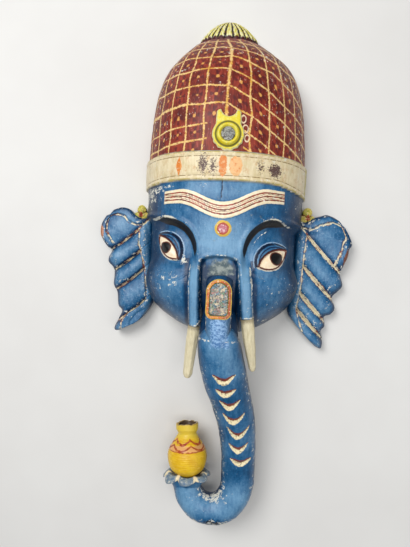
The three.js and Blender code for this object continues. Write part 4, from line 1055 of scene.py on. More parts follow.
def ridge_line():
    """Stations of the ridge that comes out of the arch: x, y, z, half-width, half-depth."""
    wide, deep = RIDGE_HALF_WIDTH, RIDGE_HALF_DEPTH

    def station(x, y, width, depth, back=0.0):
        return x, y, ROOT_Z + RIDGE_FRONT - back - depth, width, depth

    stations = [
        (0, RIDGE_TOP_Y, ROOT_Z, wide * 0.6, 1),
        (0, RIDGE_TOP_Y - 2, ROOT_Z + 2, wide * 0.85, deep * 0.35),
        (0, RIDGE_TOP_Y - 6, ROOT_Z + 4, wide, deep * 0.8),
        station(TABLET_X, RIDGE_TOP_Y - 12, wide, deep),
        station(TABLET_X, TABLET_Y, wide, deep),
        station(1, TABLET_Y - TABLET_HALF_LENGTH, wide, deep),
        station(2, LEDGE_Y, wide, deep + 2),
        station(5, LEDGE_Y - 26, wide * 0.9, deep + 2, 8),
    ]
    return numbered(stations)


def trunk_line():
    """Stations of the full trunk, from the ledge through the hook."""
    wide, deep, end = TRUNK_HALF_WIDTH, TRUNK_HALF_DEPTH, TRUNK_END_RADIUS
    rows = [
        (2, LEDGE_Y + 1, 0.1, wide * 0.8, deep - 6),
        (2.4, LEDGE_Y - 2, 0.05, wide * 0.88, deep - 1),
        (3.5, LEDGE_Y - 9, 0.05, wide * 0.95, deep + 1),
        (8, -120, 0.18, wide, deep + 2),
        (15, -150, 0.35, wide, deep + 2),
        (24.5, -180, 0.53, wide * 0.93, deep + 1),
        (33, -215, 0.71, wide * 0.88, deep),
        (37.5, -250, 0.85, wide * 0.84, deep - 1),
        (BEND.x + BEND_HALF_WIDTH, -280, 0.95, wide * 0.81, deep - 1.5),
    ]
    high = ROOT_Z + RIDGE_FRONT - deep
    stations = [(x, y, mix(high, BEND.z, share), width, depth) for x, y, share, width, depth in rows]
    for t in np.linspace(0, 1, 8):
        angle = -t * BEND_TURN
        x, y = BEND.x + BEND_HALF_WIDTH * math.cos(angle), BEND.y + BEND_HALF_HEIGHT * math.sin(angle)
        stations.append((x, y, BEND.z, mix(wide * 0.8, end, t**1.4), mix(deep - 2, end, t**1.4)))
    return numbered(stations)


def tube(stations, rows, sides):
    """Rings square to a line, with the angle round each and the way they face."""
    at = np.linspace(stations[0][0], stations[-1][0], rows)
    values = along(stations, at)
    centre = values[:, :3]
    down = np.gradient(centre, axis=0)
    down /= np.linalg.norm(down, axis=1, keepdims=True)
    out = np.array([0, 0, 1.0]) - down * down[:, 2:3]
    out /= np.linalg.norm(out, axis=1, keepdims=True)
    across = np.cross(down, out)
    angle = turn_of(sides)[None, :, None]
    width, depth = values[:, None, 3:4], values[:, None, 4:5]
    side, front = np.cos(angle), np.sin(angle)
    rings = centre[:, None] + across[:, None] * width * side + out[:, None] * depth * front
    return rings, np.broadcast_to(front[..., 0], rings.shape[:2]), np.repeat(at[:, None], sides, 1)


def notch_place(x, y):
    """How far inside a notch, and the share of its height there, from the low edge up."""
    inside, share = np.full(x.shape, NO_NOTCH), np.zeros(x.shape)
    for middle, half, low, reach in NOTCHES:
        s = np.clip((x - middle) / half, -1.4, 1.4)
        height = y - low - reach * np.abs(s) ** 1.9 - 0.06 * (x - middle)
        room = NOTCH_ROOM * np.sign(1 - s * s) * np.abs(1 - s * s) ** 0.7
        depth = np.minimum(height, room - height)
        share = np.where(depth > inside, height / np.maximum(room, 0.5), share)
        inside = np.maximum(inside, depth)
    return inside, share


def tablet_ring(inset):
    """The tablet's outline, round at the top, moved in from its edge."""
    w, l = TABLET_HALF_WIDTH - inset, TABLET_HALF_LENGTH - inset
    r = max(0.5, TABLET_CORNER + TABLET_BORDER - inset)

    def arc(x, y, radius, start, end, count):
        angle = np.linspace(start, end, count)
        return np.stack([x + radius * np.cos(angle), y + radius * np.sin(angle)], -1)

    def line(a, b, count):
        return mix(np.array(a), np.array(b), np.linspace(0, 1, count + 2)[1:-1, None])

    return np.concatenate(
        [
            arc(0, l - w, w, 0, math.pi, 60),
            line((-w, l - w), (-w, r - l), 26),
            arc(r - w, r - l, r, math.pi, 1.5 * math.pi, 14),
            line((r - w, -l), (w - r, -l), 14),
            arc(w - r, r - l, r, 1.5 * math.pi, 2 * math.pi, 14),
            line((w, r - l), (w, l - w), 26),
        ]
    )


def inside_tablet(x, y, inset):
    dx, dy = np.abs(x - TABLET_X), y - TABLET_Y
    w, l = TABLET_HALF_WIDTH - inset, TABLET_HALF_LENGTH - inset
    return np.where(dy > l - w, np.hypot(dx, dy - l + w) - w, np.maximum(dx - w, -l - dy))


def plain_trunk(shape, **more):
    fields = {"notch": NO_NOTCH, "notch_share": 0.0, "strip": NO_STRIP, "underside": 0.0, "tone": 0.0}
    fields |= {"wear": 0.0, "frame": 0.0, "frame_side": 0.0, "lip": 0.0, "crease": 0.0, **more}
    return {key: value + np.zeros(shape) for key, value in fields.items()}


def trunk_tube(rings, front, notched):
    x, y = rings[..., 0], rings[..., 1]
    inside, share = notch_place(x, y)
    inside = np.where((front > 0.1) & notched, inside, NO_NOTCH)
    cut = 2.4 * smooth(0, 2.5, inside) * smooth(0, 0.3, share) * smooth(1.05, 0.5, share)
    n = normals_of(rings)
    n *= np.sign((n * (rings - rings.mean(1, keepdims=True))).sum(-1).mean())
    uneven = 0.8 * noise(rings, 24, 3) + 0.35 * noise(rings, 8, 4)
    rings = rings + n * (uneven - cut)[..., None]
    middle = 1.0 + 0.1 * (-60 - y)
    strip = np.maximum(np.abs(x - middle) - 11.5, np.maximum(-95 - y, y + 56))
    underside = spot(x, y, (4, -362), (32, 11))
    inner_bend = spot(x, y, (2, -326), (26, 12))
    # Painted light and shade in the tone: painted highlights down the front of the trunk and on the hook,
    # painted shade on its sides
    tone = 0.1 + 0.4 * smooth(0.55, 1, front) * smooth(-150, -100, y)
    tone += 0.5 * smooth(0.3, 0.9, front) * smooth(-285, -320, y) - 0.75 * smooth(0.55, 0.05, front)
    rub = 0.3 * smooth(-112, -135, y) * smooth(0.9, 0.5, front) * smooth(0.05, 0.3, front)
    ledge = 0.45 * bump((y - LEDGE_Y + 1) / 4) * notched
    return rings, plain_trunk(
        x.shape,
        notch=inside,
        notch_share=share * notched,
        strip=np.where(front > 0.2, strip, NO_STRIP),
        underside=underside,
        # More painted shade under the hook
        tone=tone - 0.5 * underside,
        wear=0.35 * underside + 0.35 * inner_bend + rub + ledge + 0.02,
    )


def trunk_skins():
    rings, front, _ = tube(ridge_line(), 130, 96)
    under_mirror = inside_tablet(rings[..., 0], rings[..., 1], TABLET_BORDER - 1) < 0
    low = np.minimum(rings[..., 2], TABLET_TOP_Z - TABLET_POCKET - 0.8)
    rings[..., 2] = np.where(under_mirror, low, rings[..., 2])
    ridge, ridge_fields = trunk_tube(rings, front, False)
    x, y = ridge[..., 0], ridge[..., 1]
    ridge_fields["wear"] += 0.5 * bump((np.abs(x - 1) - 16.6) / 1.6) * (front > 0.2) * (y < -50)
    # Painted shade at the top of the ridge, where it comes out of the recess
    ridge_fields["tone"] -= 0.9 * smooth(RIDGE_TOP_Y - 16, RIDGE_TOP_Y - 8, y)
    rings, front, _ = tube(trunk_line(), 300, 96)
    return [(ridge, ridge_fields), trunk_tube(rings, front, True), flank_skin(), tablet_frame(), lip_skin()]


def flank_skin():
    """The lower wood at both sides of the ridge, between the sheaths and the full trunk."""
    z = ROOT_Z + RIDGE_FRONT - FLANK_DROP - FLANK_DEPTH
    stations = [(1, -48, z - 6, 20), (1.5, -62, z, 24), (2, -84, z, 26.5), (4, -98, z - 3, 24)]
    rings, front, _ = tube(numbered((*station, FLANK_DEPTH) for station in stations), 40, 72)
    # A low tone: painted shade on the flanks down in the channels, a little lighter towards the front
    return rings, plain_trunk(rings.shape[:2], tone=-0.7 + 0.2 * front, wear=0.1)


def tablet_frame():
    """The raised border round the long mirror, down into the trunk."""
    rows = [(0, -16), (0, -1.5), (0.9, 0.1), (2.2, 0.6), (4.3, 0.3), (4.9, -0.5), (5.0, -TABLET_POCKET)]
    fine = even_rows(rows, 30)
    rings = []
    for inset, rise in fine:
        flat = tablet_ring(inset) + np.array([TABLET_X, TABLET_Y])
        rings.append(np.column_stack([flat, np.full(len(flat), TABLET_TOP_Z + rise)]))
    rings = np.array(rings)
    rings += 0.4 * noise(rings, 6, 6)[..., None] * np.array([1, 1, 0.7])
    inset = np.repeat(fine[:, :1], rings.shape[1], axis=1)
    on_wall = np.repeat(fine[:, 1:], rings.shape[1], axis=1) < -4
    painted = np.where(on_wall & (inset < 0.5), 0.0, 1 + inset)
    # The low tone gives the frame's unpainted outer wall painted shade
    fields = plain_trunk(inset.shape, frame=painted, frame_side=rings[..., 0] - TABLET_X, tone=-0.6)
    return rings, fields


def trunk_end():
    return np.array(trunk_line()[-1][1:4])


def lip_skin():
    """The flared end of the trunk, with curled petals and a cup for the pot."""
    rows = [
        (-12, TRUNK_END_RADIUS - 1.5, 0, 0),
        (-6, TRUNK_END_RADIUS + 1.0, 0.1, 0),
        (0, 25, 0.4, 0.1),
        (6, 29.5, 0.8, 0.6),
        (10.0, 33.5, 1.3, 1.7),
        (11.0, 36, 1.4, 2.6),
        (14.0, 35.5, 1.4, 2.0),
        (16.2, 30, 1.1, 0.8),
        (13.4, 24.5, 0.6, 0),
        (11.8, 19, 0.2, 0),
        (11.3, 8, 0, 0),
    ]
    fine = even_rows(rows, LIP_ROWS)
    angle = turn_of(40 * LIP_PETALS)
    petal = np.abs(np.cos((angle + 0.25) * LIP_PETALS / 2)) ** 0.9
    rings = []
    for rise, radius, wave, droop in fine:
        r = radius - 4.2 * wave * (1 - petal) * (1 + 0.5 * np.sin(3 * angle + 1))
        sag = droop * (0.35 + 0.65 * petal) * (2.1 - 1.5 * np.cos(angle)) - 1.0 * wave * (1 - petal)
        flat = np.stack([r * np.cos(angle), rise - sag, LIP_FLATTENING * r * np.sin(angle)], -1)
        rings.append(trunk_end() + flat)
    rings = np.array(rings)
    rings += 0.6 * noise(rings, 9, 8)[..., None]
    share = np.linspace(0, 1, LIP_ROWS)[:, None]
    wear = 0.4 * np.exp(-(((share - 0.55) / 0.12) ** 2)) - 0.1
    return rings, plain_trunk(rings.shape[:2], lip=share + 0.001, crease=1 - petal, wear=wear, tone=0.2)


def trunk_paint():
    paint = Paint("trunk_paint", bump=0.4)
    wobble = paint.noise(3.5, 3, 0.6)
    # The blue, with painted light and shade from the tone values
    colour = shaded_worn_blue(paint, paint["tone"])

    scratchy = paint.noise(2.6, 4, 0.75, (1.6, 1, 1))
    pale = paint.layer(scratchy.above(0.0, 0.14), srgb(74, 116, 164), srgb(140, 176, 212))
    strip = (paint["strip"] + paint.noise(5, 4, 0.7) * 7.0).below(0.0, 2.0)
    colour = paint.layer(strip, colour, pale)

    # In each notch the lower face is ivory and the upper face red-brown to blue-grey: painted shade on the
    # cut's upper face
    in_notch = (paint["notch"] + wobble * 1.8).above(-0.2, 0.5)
    side = (paint["notch_share"] + wobble * 0.3).below(0.48, 0.07)
    stain_and_shade = paint.layer(paint.noise(5, 3).above(0.2, 0.2), srgb(132, 50, 38), srgb(50, 44, 66))
    ivory = paint.layer(paint.noise(2.4, 4, 0.7).above(0.14, 0.1), srgb(228, 214, 172), srgb(150, 138, 110))
    colour = paint.layer(in_notch, colour, paint.layer(side, stain_and_shade, ivory))

    under = (paint["underside"] + paint.noise(4, 4, 0.75, (1, 2, 1)) * 0.7).above(0.85, 0.1)
    colour = paint.layer(under, colour, srgb(22, 26, 34))
    colour, chips = paint.chipped(colour, paint["wear"])

    petals = paint.noise(4, 4, 0.65)
    lip = (paint["lip"] + petals * 0.2).above(0.45, 0.06)
    tone = paint.layer(petals.above(-0.08, 0.3), srgb(62, 96, 130), srgb(134, 146, 150))
    tone = paint.layer(paint.noise(4, 4, 0.7).above(0.26, 0.1), tone, srgb(216, 212, 198))
    tone = paint.layer((paint["crease"] + wobble * 0.4).above(0.62, 0.12), tone, CREAM)
    tone = paint.layer(paint["lip"].above(0.8, 0.04), tone, srgb(104, 98, 84))
    colour = paint.layer(lip, colour, tone)

    frame = paint["frame"] + wobble
    border = paint.layer(paint.noise(4, 4).above(0.0, 0.3), srgb(182, 84, 40), srgb(214, 146, 62))
    right = (paint["frame_side"] + wobble * 6.0).above(4.0, 3.0)
    border = paint.layer(right * 0.7, border, srgb(138, 52, 34))
    border = paint.layer(frame.below(2.1, 0.35), border, srgb(196, 164, 66))
    border = paint.layer(frame.above(5.2, 0.3), border, srgb(120, 108, 48))
    border = paint.layer(paint.noise(2.4, 3).above(0.26, 0.08), border, CREAM)
    colour = paint.layer(paint["frame"].above(0.6, 0.1), colour, border)

    return paint.finish(colour, paint.gloss(chips), paint.brushed(chips))


def build_trunk():
    belongs(make_piece("carved_trunk", trunk_skins(), trunk_paint()), "trunk_paint", "trunk")


# Pot

POT_RADIUS, POT_HEIGHT, POT_FOOT_RADIUS, POT_NECK_RADIUS, POT_MOUTH_RADIUS = 29.0, 77.0, 11.0, 14.0, 16.4
POT_MOUTH_DEPTH, POT_RIM, POT_CHIP_DEPTH = 6.0, 3.5, 2.6
POT_TILT, POT_LEAN = math.radians(3), math.radians(4)
POT_OFFSET_X, POT_OFFSET_Z = 1.0, 5.0
POT_ROWS, POT_SIDES = 220, 128
POT_SWAG_DROP = 6.5
POT_BODY = [(0.04, 0.58), (0.13, 0.83), (0.26, 0.97), (0.4, 1.0), (0.54, 0.9), (0.68, 0.65)]
POT_NECK = (0.77, 0.81, 0.87)


def build_pot():
    neck, neck_top, rim = (share * POT_HEIGHT for share in POT_NECK)
    bore = POT_MOUTH_RADIUS - POT_RIM
    profile = [(0.3, 0.0), (POT_FOOT_RADIUS, 0.0)]
    profile += [(POT_RADIUS * share, POT_HEIGHT * rise) for rise, share in POT_BODY]
    profile += [
        (POT_NECK_RADIUS + 0.6, neck),
        (POT_NECK_RADIUS, neck_top),
        (POT_MOUTH_RADIUS - 0.2, rim),
        (POT_MOUTH_RADIUS + 0.2, rim + 1.5),
        (POT_MOUTH_RADIUS, POT_HEIGHT - 1.2),
        (POT_MOUTH_RADIUS - 0.9, POT_HEIGHT),
        (bore + 0.6, POT_HEIGHT - 0.2),
        (bore, POT_HEIGHT - 1.2),
        (bore - 0.8, POT_HEIGHT - POT_MOUTH_DEPTH + 0.4),
        (bore - 3, POT_HEIGHT - POT_MOUTH_DEPTH),
        (0.3, POT_HEIGHT - POT_MOUTH_DEPTH),
    ]
    fine = even_rows(profile, POT_ROWS)
    angle = turn_of(POT_SIDES)
    radius, rise = fine[:, :1], fine[:, 1:]
    on_body = smooth(6, 14, rise) * smooth(neck, neck - 8, rise)
    turned = 0.25 * np.sin(rise * 2.1) - 0.8 * (bump((rise - 46) / 1.4) + bump((rise - 38.5) / 1.4))
    r = np.maximum(radius + turned * on_body, 0.2)
    rings = np.stack([r * np.cos(angle), rise + 0 * angle, r * np.sin(angle)], -1)
    rings += 0.3 * noise(rings, 10, 9)[..., None]
    rise = rings[..., 1].copy()
    around = np.stack([np.cos(angle), np.sin(angle), 0 * angle], -1)
    broken = POT_CHIP_DEPTH * np.clip(noise(POT_MOUTH_RADIUS * around, 7, 12) + 0.25, 0, None)
    rings[..., 1] -= broken * smooth(POT_HEIGHT - 7, POT_HEIGHT - 0.5, rise)
    share = np.arange(POT_ROWS)[:, None] / POT_ROWS + 0 * angle
    inner = np.where(share > (len(profile) - 5) / (len(profile) - 1), 1.0, 0.0)
    tilt = np.array(Matrix.Rotation(POT_TILT, 3, "Z") @ Matrix.Rotation(-POT_LEAN, 3, "X"))
    foot = trunk_end() + np.array([POT_OFFSET_X, LIP_LENGTH - LIP_CUP_DEPTH, POT_OFFSET_Z])
    rings = rings @ tilt.T + foot
    attributes = {"rise": rise, "inner": inner, "turn": angle + 0 * rise}
    belongs(make_piece("turned_pot", [(rings, attributes)], pot_paint()), "pot_paint", "pot")


def pot_paint():
    paint = Paint("pot_paint", roughness=0.35, bump=0.3)
    wobble = paint.noise(4, 3, 0.6)
    rise = paint["rise"] + wobble * 1.6
    tone = paint.noise(14, 4, 0.6)
    colour = paint.layer(tone.above(0.0, 0.5), srgb(208, 158, 16), srgb(230, 190, 40))
    colour = paint.layer(paint.noise(2.2, 3, 0.6, (5, 0.6, 5)).above(0.25, 0.3), colour, srgb(236, 196, 74))
    colour = paint.layer(rise.above(57, 3.0), colour, srgb(216, 186, 62))

    band = rise.above(38.6, 0.6) * rise.below(47.0, 0.7)
    colour = paint.layer(band * tone.above(-0.35, 0.3), colour, srgb(222, 164, 100))
    swag = abs(paint.math("SINE", paint["turn"] * 2.5)) * POT_SWAG_DROP
    red = paint.layer(paint.noise(5, 3).above(0.1, 0.2), srgb(158, 62, 26), srgb(192, 108, 52))
    for start, width, hanging in ((55.0, 1.7, 1.0), (47.5, 1.2, 1.0), (39.2, 0.8, 0.0)):
        line = abs(rise + swag * hanging - start)
        drawn = line.below(width, 0.5) * paint.noise(9, 3, 0.6).above(-0.3, 0.12)
        colour = paint.layer(drawn, colour, red)

    colour, chips = paint.chipped(colour, -0.03, srgb(234, 218, 180))
    edge = (paint["rise"] + wobble * 0.8).above(76.0, 0.5)
    colour = paint.layer(edge * 0.75, colour, srgb(150, 118, 70))
    colour = paint.layer(paint["inner"].above(0.5, 0.2), colour, srgb(84, 66, 48))
    rough = paint.noise(9, 3) * 0.18 + 0.36
    return paint.finish(colour, rough, paint.noise(2.5, 4) * 0.5 - chips * 0.4)


# Tusks

TUSKS = {
    -1: {"radius": 7.9, "tip": 6.2, "splay": 7.0},
    1: {"radius": 8.9, "tip": 4.9, "splay": 12.0},
}
TUSK_LENGTH, TUSK_TIP_LENGTH, TUSK_PEG, TUSK_PEG_RADIUS, TUSK_DROP = 75.0, 7.0, 12.0, 4.2, 12.0
TUSK_ROWS, TUSK_SIDES = 170, 72


def build_tusk(name, side):
    radius, tip, splay = TUSKS[side].values()
    sheath = SHEATHS[side]
    root = np.array([side * sheath["foot"], sheath["foot_y"], SHEATH_FOOT_Z - radius])
    travel = np.array([side * splay, -TUSK_LENGTH, -TUSK_DROP])
    direction = travel / np.linalg.norm(travel)
    straight = TUSK_LENGTH - TUSK_TIP_LENGTH
    rows = [(-TUSK_PEG, TUSK_PEG_RADIUS), (-0.8, TUSK_PEG_RADIUS), (-0.2, radius - 0.6)]
    rows += [(t * straight, mix(radius, tip, t**2)) for t in np.linspace(0.01, 1, 24)]
    rows += [(straight + 3, tip * 0.86), (TUSK_LENGTH - 1, tip * 0.6), (TUSK_LENGTH, tip * 0.3)]
    stations = numbered((*(root + direction * d), r, r * 0.9) for d, r in rows)
    rings, _, at = tube(stations, TUSK_ROWS, TUSK_SIDES)
    centre = rings.mean(1, keepdims=True)
    angle = turn_of(TUSK_SIDES)
    facets = 0.04 * np.cos(7 * angle + side) + 0.025 * np.cos(3 * angle + 2 * side)
    rings = centre + (rings - centre) * (1 + facets * smooth(3, 8, at))[..., None]
    rings += 0.4 * noise(rings, 7, 10 + side)[..., None]
    distance = ((rings - root) * direction).sum(-1)
    piece = make_piece("carved_" + name, [(rings, {"distance": distance})], tusk_paint(name))
    belongs(piece, "tusk_paint", name)


def tusk_paint(name):
    paint = Paint(name + "_paint", roughness=0.62, bump=0.45)
    grain = paint.noise(2.2, 4, 0.65, (1, 7, 1))
    colour = paint.layer(grain.above(0.0, 0.7), srgb(196, 182, 142), srgb(232, 222, 190))
    colour = paint.layer(paint.noise(12, 3).above(0.15, 0.4), colour, srgb(210, 200, 166))
    speck = paint.noise(1.5, 3, 0.7).above(0.42, 0.08)
    colour = paint.layer(speck, colour, srgb(110, 88, 62))
    # Darker brown over the first few millimetres from the root, where the tusk meets the sheath
    darker_at_root = (paint["distance"] + grain * 5.0).below(4.0, 3.0)
    colour = paint.layer(darker_at_root * 0.6, colour, srgb(120, 104, 78))
    tip = (paint["distance"] + grain * 3.0).above(72.0, 2.0)
    colour = paint.layer(tip, colour, srgb(220, 206, 166))
    return paint.finish(colour, grain * 0.15 + 0.62, grain)


# Ears

EAR_BACK_Z, EAR_THICKNESS, EAR_FLUTE_RISE, EAR_RIM_WIDTH, EAR_RIM_RISE = 9.0, 13.0, 9.0, 8.0, 3.0
EAR_TOP_FLATNESS, EAR_ROLL_RISE, EAR_SEAM_DEPTH = 0.6, 6.0, 1.6
FAR = 30.0
NO_LINES = {"groove": FAR, "seam": FAR, "rim_line": FAR, "patch": FAR}

# Each ear by the way its fluting runs. An edge is the place up the ear, and how far from the head's side
# the ear starts and ends there. The seam beside the head is height and distance out.
EARS = {
    -1: {
        "slope": 0.85,
        "sag": 4.0,
        "grooves": [-44.5, 7.5, 41, 78],
        "edges": [
            (-68, -6, 22), (-63, -12, 38), (-54, -15, 45), (-43, -15, 39), (-36, -13, 34),
            (-22, -11, 40), (0, -9, 43), (18, -8, 49), (33, -8, 49), (46, -8, 51), (62, -8, 59),
            (70, -8, 59), (76, -8, 55), (88, 8, 61), (104, 20, 68), (117, 27, 72), (132, 41, 71),
            (139, 54, 65),
        ],
        "seam": [
            (-80, 33), (-68, 24), (-54, 5), (-42, -4), (-7, -1), (20, 4), (40, 10), (60, 11), (80, 20),
            (100, 30),
        ],
    },
    1: {
        "slope": 1.08,
        "sag": 2.0,
        "grooves": [-48, -19, 26, 78],
        "edges": [
            (-71, -12, 31), (-66, -14, 38), (-57, -14, 41), (-48, -14, 41), (-39, -13, 38),
            (-24, -11, 44), (-13, -10, 42), (3, -8, 52), (20, -8, 58), (29, -8, 53), (46, -8, 60),
            (66, -8, 68), (79, -8, 63), (92, 6, 66), (113, 19, 72), (127, 29, 74), (139, 38, 78),
            (147, 48, 74), (152.5, 58, 67),
        ],
        "seam": [(-80, 8), (-60, 1), (-43, -2), (-24, 2), (20, 5), (45, 7), (63, 9), (80, 17), (100, 30)],
    },
}

# The sprigs where the ears' tops meet the head: distance out from its side, height, radius
SPRIGS = {-1: (10.0, 87.0, 9.5), 1: (9.0, 92.0, 10.0)}
SPRIG_RISE = 13.0


def ear_y(ear, line, out, inner, outer):
    share = (out - inner) / (outer - inner)
    return line - ear["slope"] * out - 4 * ear["sag"] * share * (1 - share)


def ear_fields(ear, line, out, inner, outer):
    """Height of the ear's front and the distances its paint goes by."""
    grooves = ear["grooves"]
    top = grooves[-1]
    y = ear_y(ear, line, out, inner, outer)
    stops = np.array([ear["edges"][0][0] - 6, *grooves, ear["edges"][-1][0]])
    i = np.clip(np.searchsorted(stops, line, side="left") - 1, 0, len(stops) - 2)
    share = np.clip((line - stops[i]) / (stops[i + 1] - stops[i]), 0, 1)
    in_top = smooth(top - 4, top + 4, line)
    swell = np.clip(np.sin(math.pi * share**0.8), 0, None) ** 0.6
    flute = EAR_FLUTE_RISE * mix(1, EAR_TOP_FLATNESS, in_top) * swell
    from_edge = np.minimum(out - inner, outer - out)
    rim = EAR_RIM_RISE * smooth(EAR_RIM_WIDTH + 1.2, EAR_RIM_WIDTH - 0.8, from_edge) * in_top
    trench = -1.5 * bump((from_edge - EAR_RIM_WIDTH - 1.5) / 2.2) * in_top
    groove = np.min([np.abs(line - g) for g in grooves], axis=0) / math.hypot(1, ear["slope"])
    groove = groove + FAR * smooth(top + 3, top + 8, line) * smooth(0, 1, from_edge)
    seam = out - along(ear["seam"], y)[..., 0]
    on_roll = smooth(1.5, -1.5, seam) * (1 - in_top)
    roll = EAR_ROLL_RISE + 2.5 * np.clip(1 - ((seam + 6) / 7.5) ** 2, 0, None) ** 0.5 - 1
    cut = EAR_SEAM_DEPTH * bump(seam / 1.8) * (1 - in_top) + 1.4 * bump(groove / 1.6)
    round_off = np.sqrt(smooth(-5, mix(12, 3, in_top), from_edge))
    across = (out - inner) / (outer - inner)
    height = (EAR_THICKNESS + mix(flute, roll, on_roll) - cut + rim + trench) * round_off
    rim_line = np.where(in_top > 0.4, np.abs(from_edge - EAR_RIM_WIDTH - 1.5), FAR)
    rim_line = np.where((line > top - 4) & (np.abs(line - top) < 7), np.minimum(rim_line, groove), rim_line)
    return {
        "height": height,
        "groove": np.where(on_roll > 0.5, FAR, groove),
        "seam": np.where(in_top > 0.6, FAR, seam),
        "rim_line": rim_line,
        "edge": from_edge,
        "crest": np.where(on_roll > 0.5, 0.4, share),
        "width": smooth(0, 0.45, across) * smooth(1.05, 0.6, across),
    }


def ear_skin(ear, side):
    low, high = ear["edges"][0][0], ear["edges"][-1][0]
    lines = np.concatenate([np.linspace(low, high, 240), ear["grooves"]])
    lines = np.unique(np.round(lines, 3))[:, None]
    inner, outer = (ends[:, None] for ends in along(ear["edges"], lines[:, 0]).T)
    share = np.linspace(0, 0.5, 46) ** 1.25 / 0.5**0.25
    share = np.concatenate([share, 1 - share[-2::-1]])[None, :]
    out = mix(inner, outer, share)
    fields = ear_fields(ear, lines + 0 * out, out, inner, outer)
    y = ear_y(ear, lines, out, inner, outer)
    front = np.stack([side * (FACE_HALF_WIDTH + out), y, EAR_BACK_Z + fields["height"]], -1)
    front[..., 2] += (0.7 * noise(front, 18, 11) + 0.35 * noise(front, 6, 12)) * smooth(0, 3, fields["edge"])
    out = mix(inner, outer, np.linspace(1, 0, 14)[None, :])
    y = ear_y(ear, lines, out, inner, outer)
    back = np.stack([side * (FACE_HALF_WIDTH + out), y, EAR_BACK_Z + 0 * out], -1)
    sharp = front[..., 2] - blurred(front[..., 2], 3)
    fields["wear"] = np.clip(sharp * 0.6, -0.4, 0.3) + 0.25 * smooth(3, 0, fields["edge"])
    crest = fields["crest"]
    # Painted light and shade in the tone: painted highlights along the crests of the flutes, painted shade
    # beside the grooves and along the ear's edges
    dark = smooth(0.16, 0.0, crest) + smooth(6, 0, fields["edge"])
    fields["tone"] = 0.4 * bump((crest - 0.45) / 0.5) - 0.9 * dark
    fields["patch"] = patch_of(front, side)
    attributes = {
        key: np.concatenate([fields[key], np.full(back.shape[:2], NO_LINES.get(key, 0.0))], axis=1)
        for key in ("wear", "tone", "width", *NO_LINES)
    }
    return np.concatenate([front, back], axis=1), attributes


def patch_of(p, side):
    """Distance to the place on each ear's outer edge where the wood is bare and broken."""
    x, y = p[..., 0], p[..., 1]
    if side < 0:
        return np.hypot((x + 192) / 0.8, (y - 56) / 1.6) - 8
    return np.hypot((x - 190) / 0.7, (y - 27) / 2.2) - 8


def sprig_skin(side):
    """Three carved leaves and a bud where the top of the ear meets the head."""
    from_side, middle, radius = SPRIGS[side]
    angle = turn_of(120)
    leaves = np.abs(np.cos(1.5 * (angle - math.pi / 2))) ** 0.7
    rings = []
    spread = np.concatenate([np.full(6, 1.0), np.linspace(1, 0.02, 24)])
    lift = EAR_BACK_Z + np.concatenate([np.linspace(0, SPRIG_RISE, 6), np.full(24, SPRIG_RISE)])
    for size, z in zip(spread, lift):
        r = radius * size * (0.68 + 0.6 * leaves)
        dome = 5.0 * (1 - size**2) * (0.5 + 0.5 * leaves) + 1.4 * bump((size - 0.25) / 0.3)
        x = side * (FACE_HALF_WIDTH + from_side + r * np.cos(angle))
        rings.append(np.stack([x, middle + 1.25 * r * np.sin(angle), z + dome], -1))
    rings = np.array(rings)
    rings += 0.4 * noise(rings, 4, 13)[..., None]
    fields = {"leaf": 2 - leaves, "leaf_radius": spread[:, None], **NO_LINES}
    return rings, {key: value + np.zeros(rings.shape[:2]) for key, value in fields.items()}


def ear_paint(name):
    paint = Paint(name + "_paint", bump=0.45)
    wobble = paint.noise(5, 4, 0.65)
    fine = paint.noise(1.8, 3, 0.65)
    # The blue, with painted light and shade from the tone values
    colour = shaded_worn_blue(paint, paint["tone"])

    rub = paint.noise(2.6, 4, 0.7).above(0.24, 0.12) * paint.noise(12, 3).above(0.0, 0.2) * 0.7
    colour = paint.layer(rub, colour, srgb(136, 164, 190))
    shade = paint["groove"].below(3.6, 1.6) * wobble.above(-0.3, 0.4)
    colour = paint.layer(shade, colour, BLUE_DARK)
    brown = paint.layer(fine.above(0.0, 0.3), srgb(104, 50, 40), srgb(150, 84, 60))
    full, gap = (2.1, -0.2) if name == "ear_right" else (0.4, -0.08)
    for line, width in (("groove", 0.8), ("seam", 0.8), ("rim_line", 0.9)):
        ragged = abs(paint[line]) + wobble * 3.2
        if line == "groove":
            ragged = ragged - paint["width"] * full
        gone = paint.noise(9, 4, 0.65).above(gap, 0.1)
        edge = ragged.below(width + 0.7, 0.4) * paint.noise(14, 3, 0.6).above(0.06, 0.15)
        colour = paint.layer(edge, colour, brown)
        colour = paint.layer(ragged.below(width, 0.35) * gone, colour, srgb(222, 212, 184))

    colour, chips = paint.chipped(colour, paint["wear"])
    patch = (paint["patch"] + wobble * 6.0).below(0.0, 0.6)
    base = srgb(186, 122, 82) if name == "ear_left" else srgb(72, 30, 22)
    colour = paint.layer(patch, colour, paint.layer(fine.above(0.0, 0.3), base, srgb(134, 84, 60)))

    leaf = paint["leaf"]
    green = paint.layer(wobble.above(-0.05, 0.3), srgb(150, 152, 50), srgb(214, 192, 96))
    vein = (leaf + wobble * 0.3).above(1.72, 0.1)
    green = paint.layer(vein, green, srgb(112, 56, 34))
    bud = (paint["leaf_radius"] + fine * 0.12).below(0.3, 0.06)
    green = paint.layer(bud, green, srgb(150, 62, 40))
    green = paint.layer(fine.above(0.22, 0.1), green, srgb(232, 218, 176))
    colour = paint.layer(leaf.above(0.6, 0.1), colour, green)
    return paint.finish(colour, paint.gloss(chips, 0.36), paint.brushed(chips))


def build_ear(name, side):
    skins = [ear_skin(EARS[side], side), sprig_skin(side)]
    belongs(make_piece("fluted_" + name, skins, ear_paint(name)), "ear_paint", name)


# Mirrors


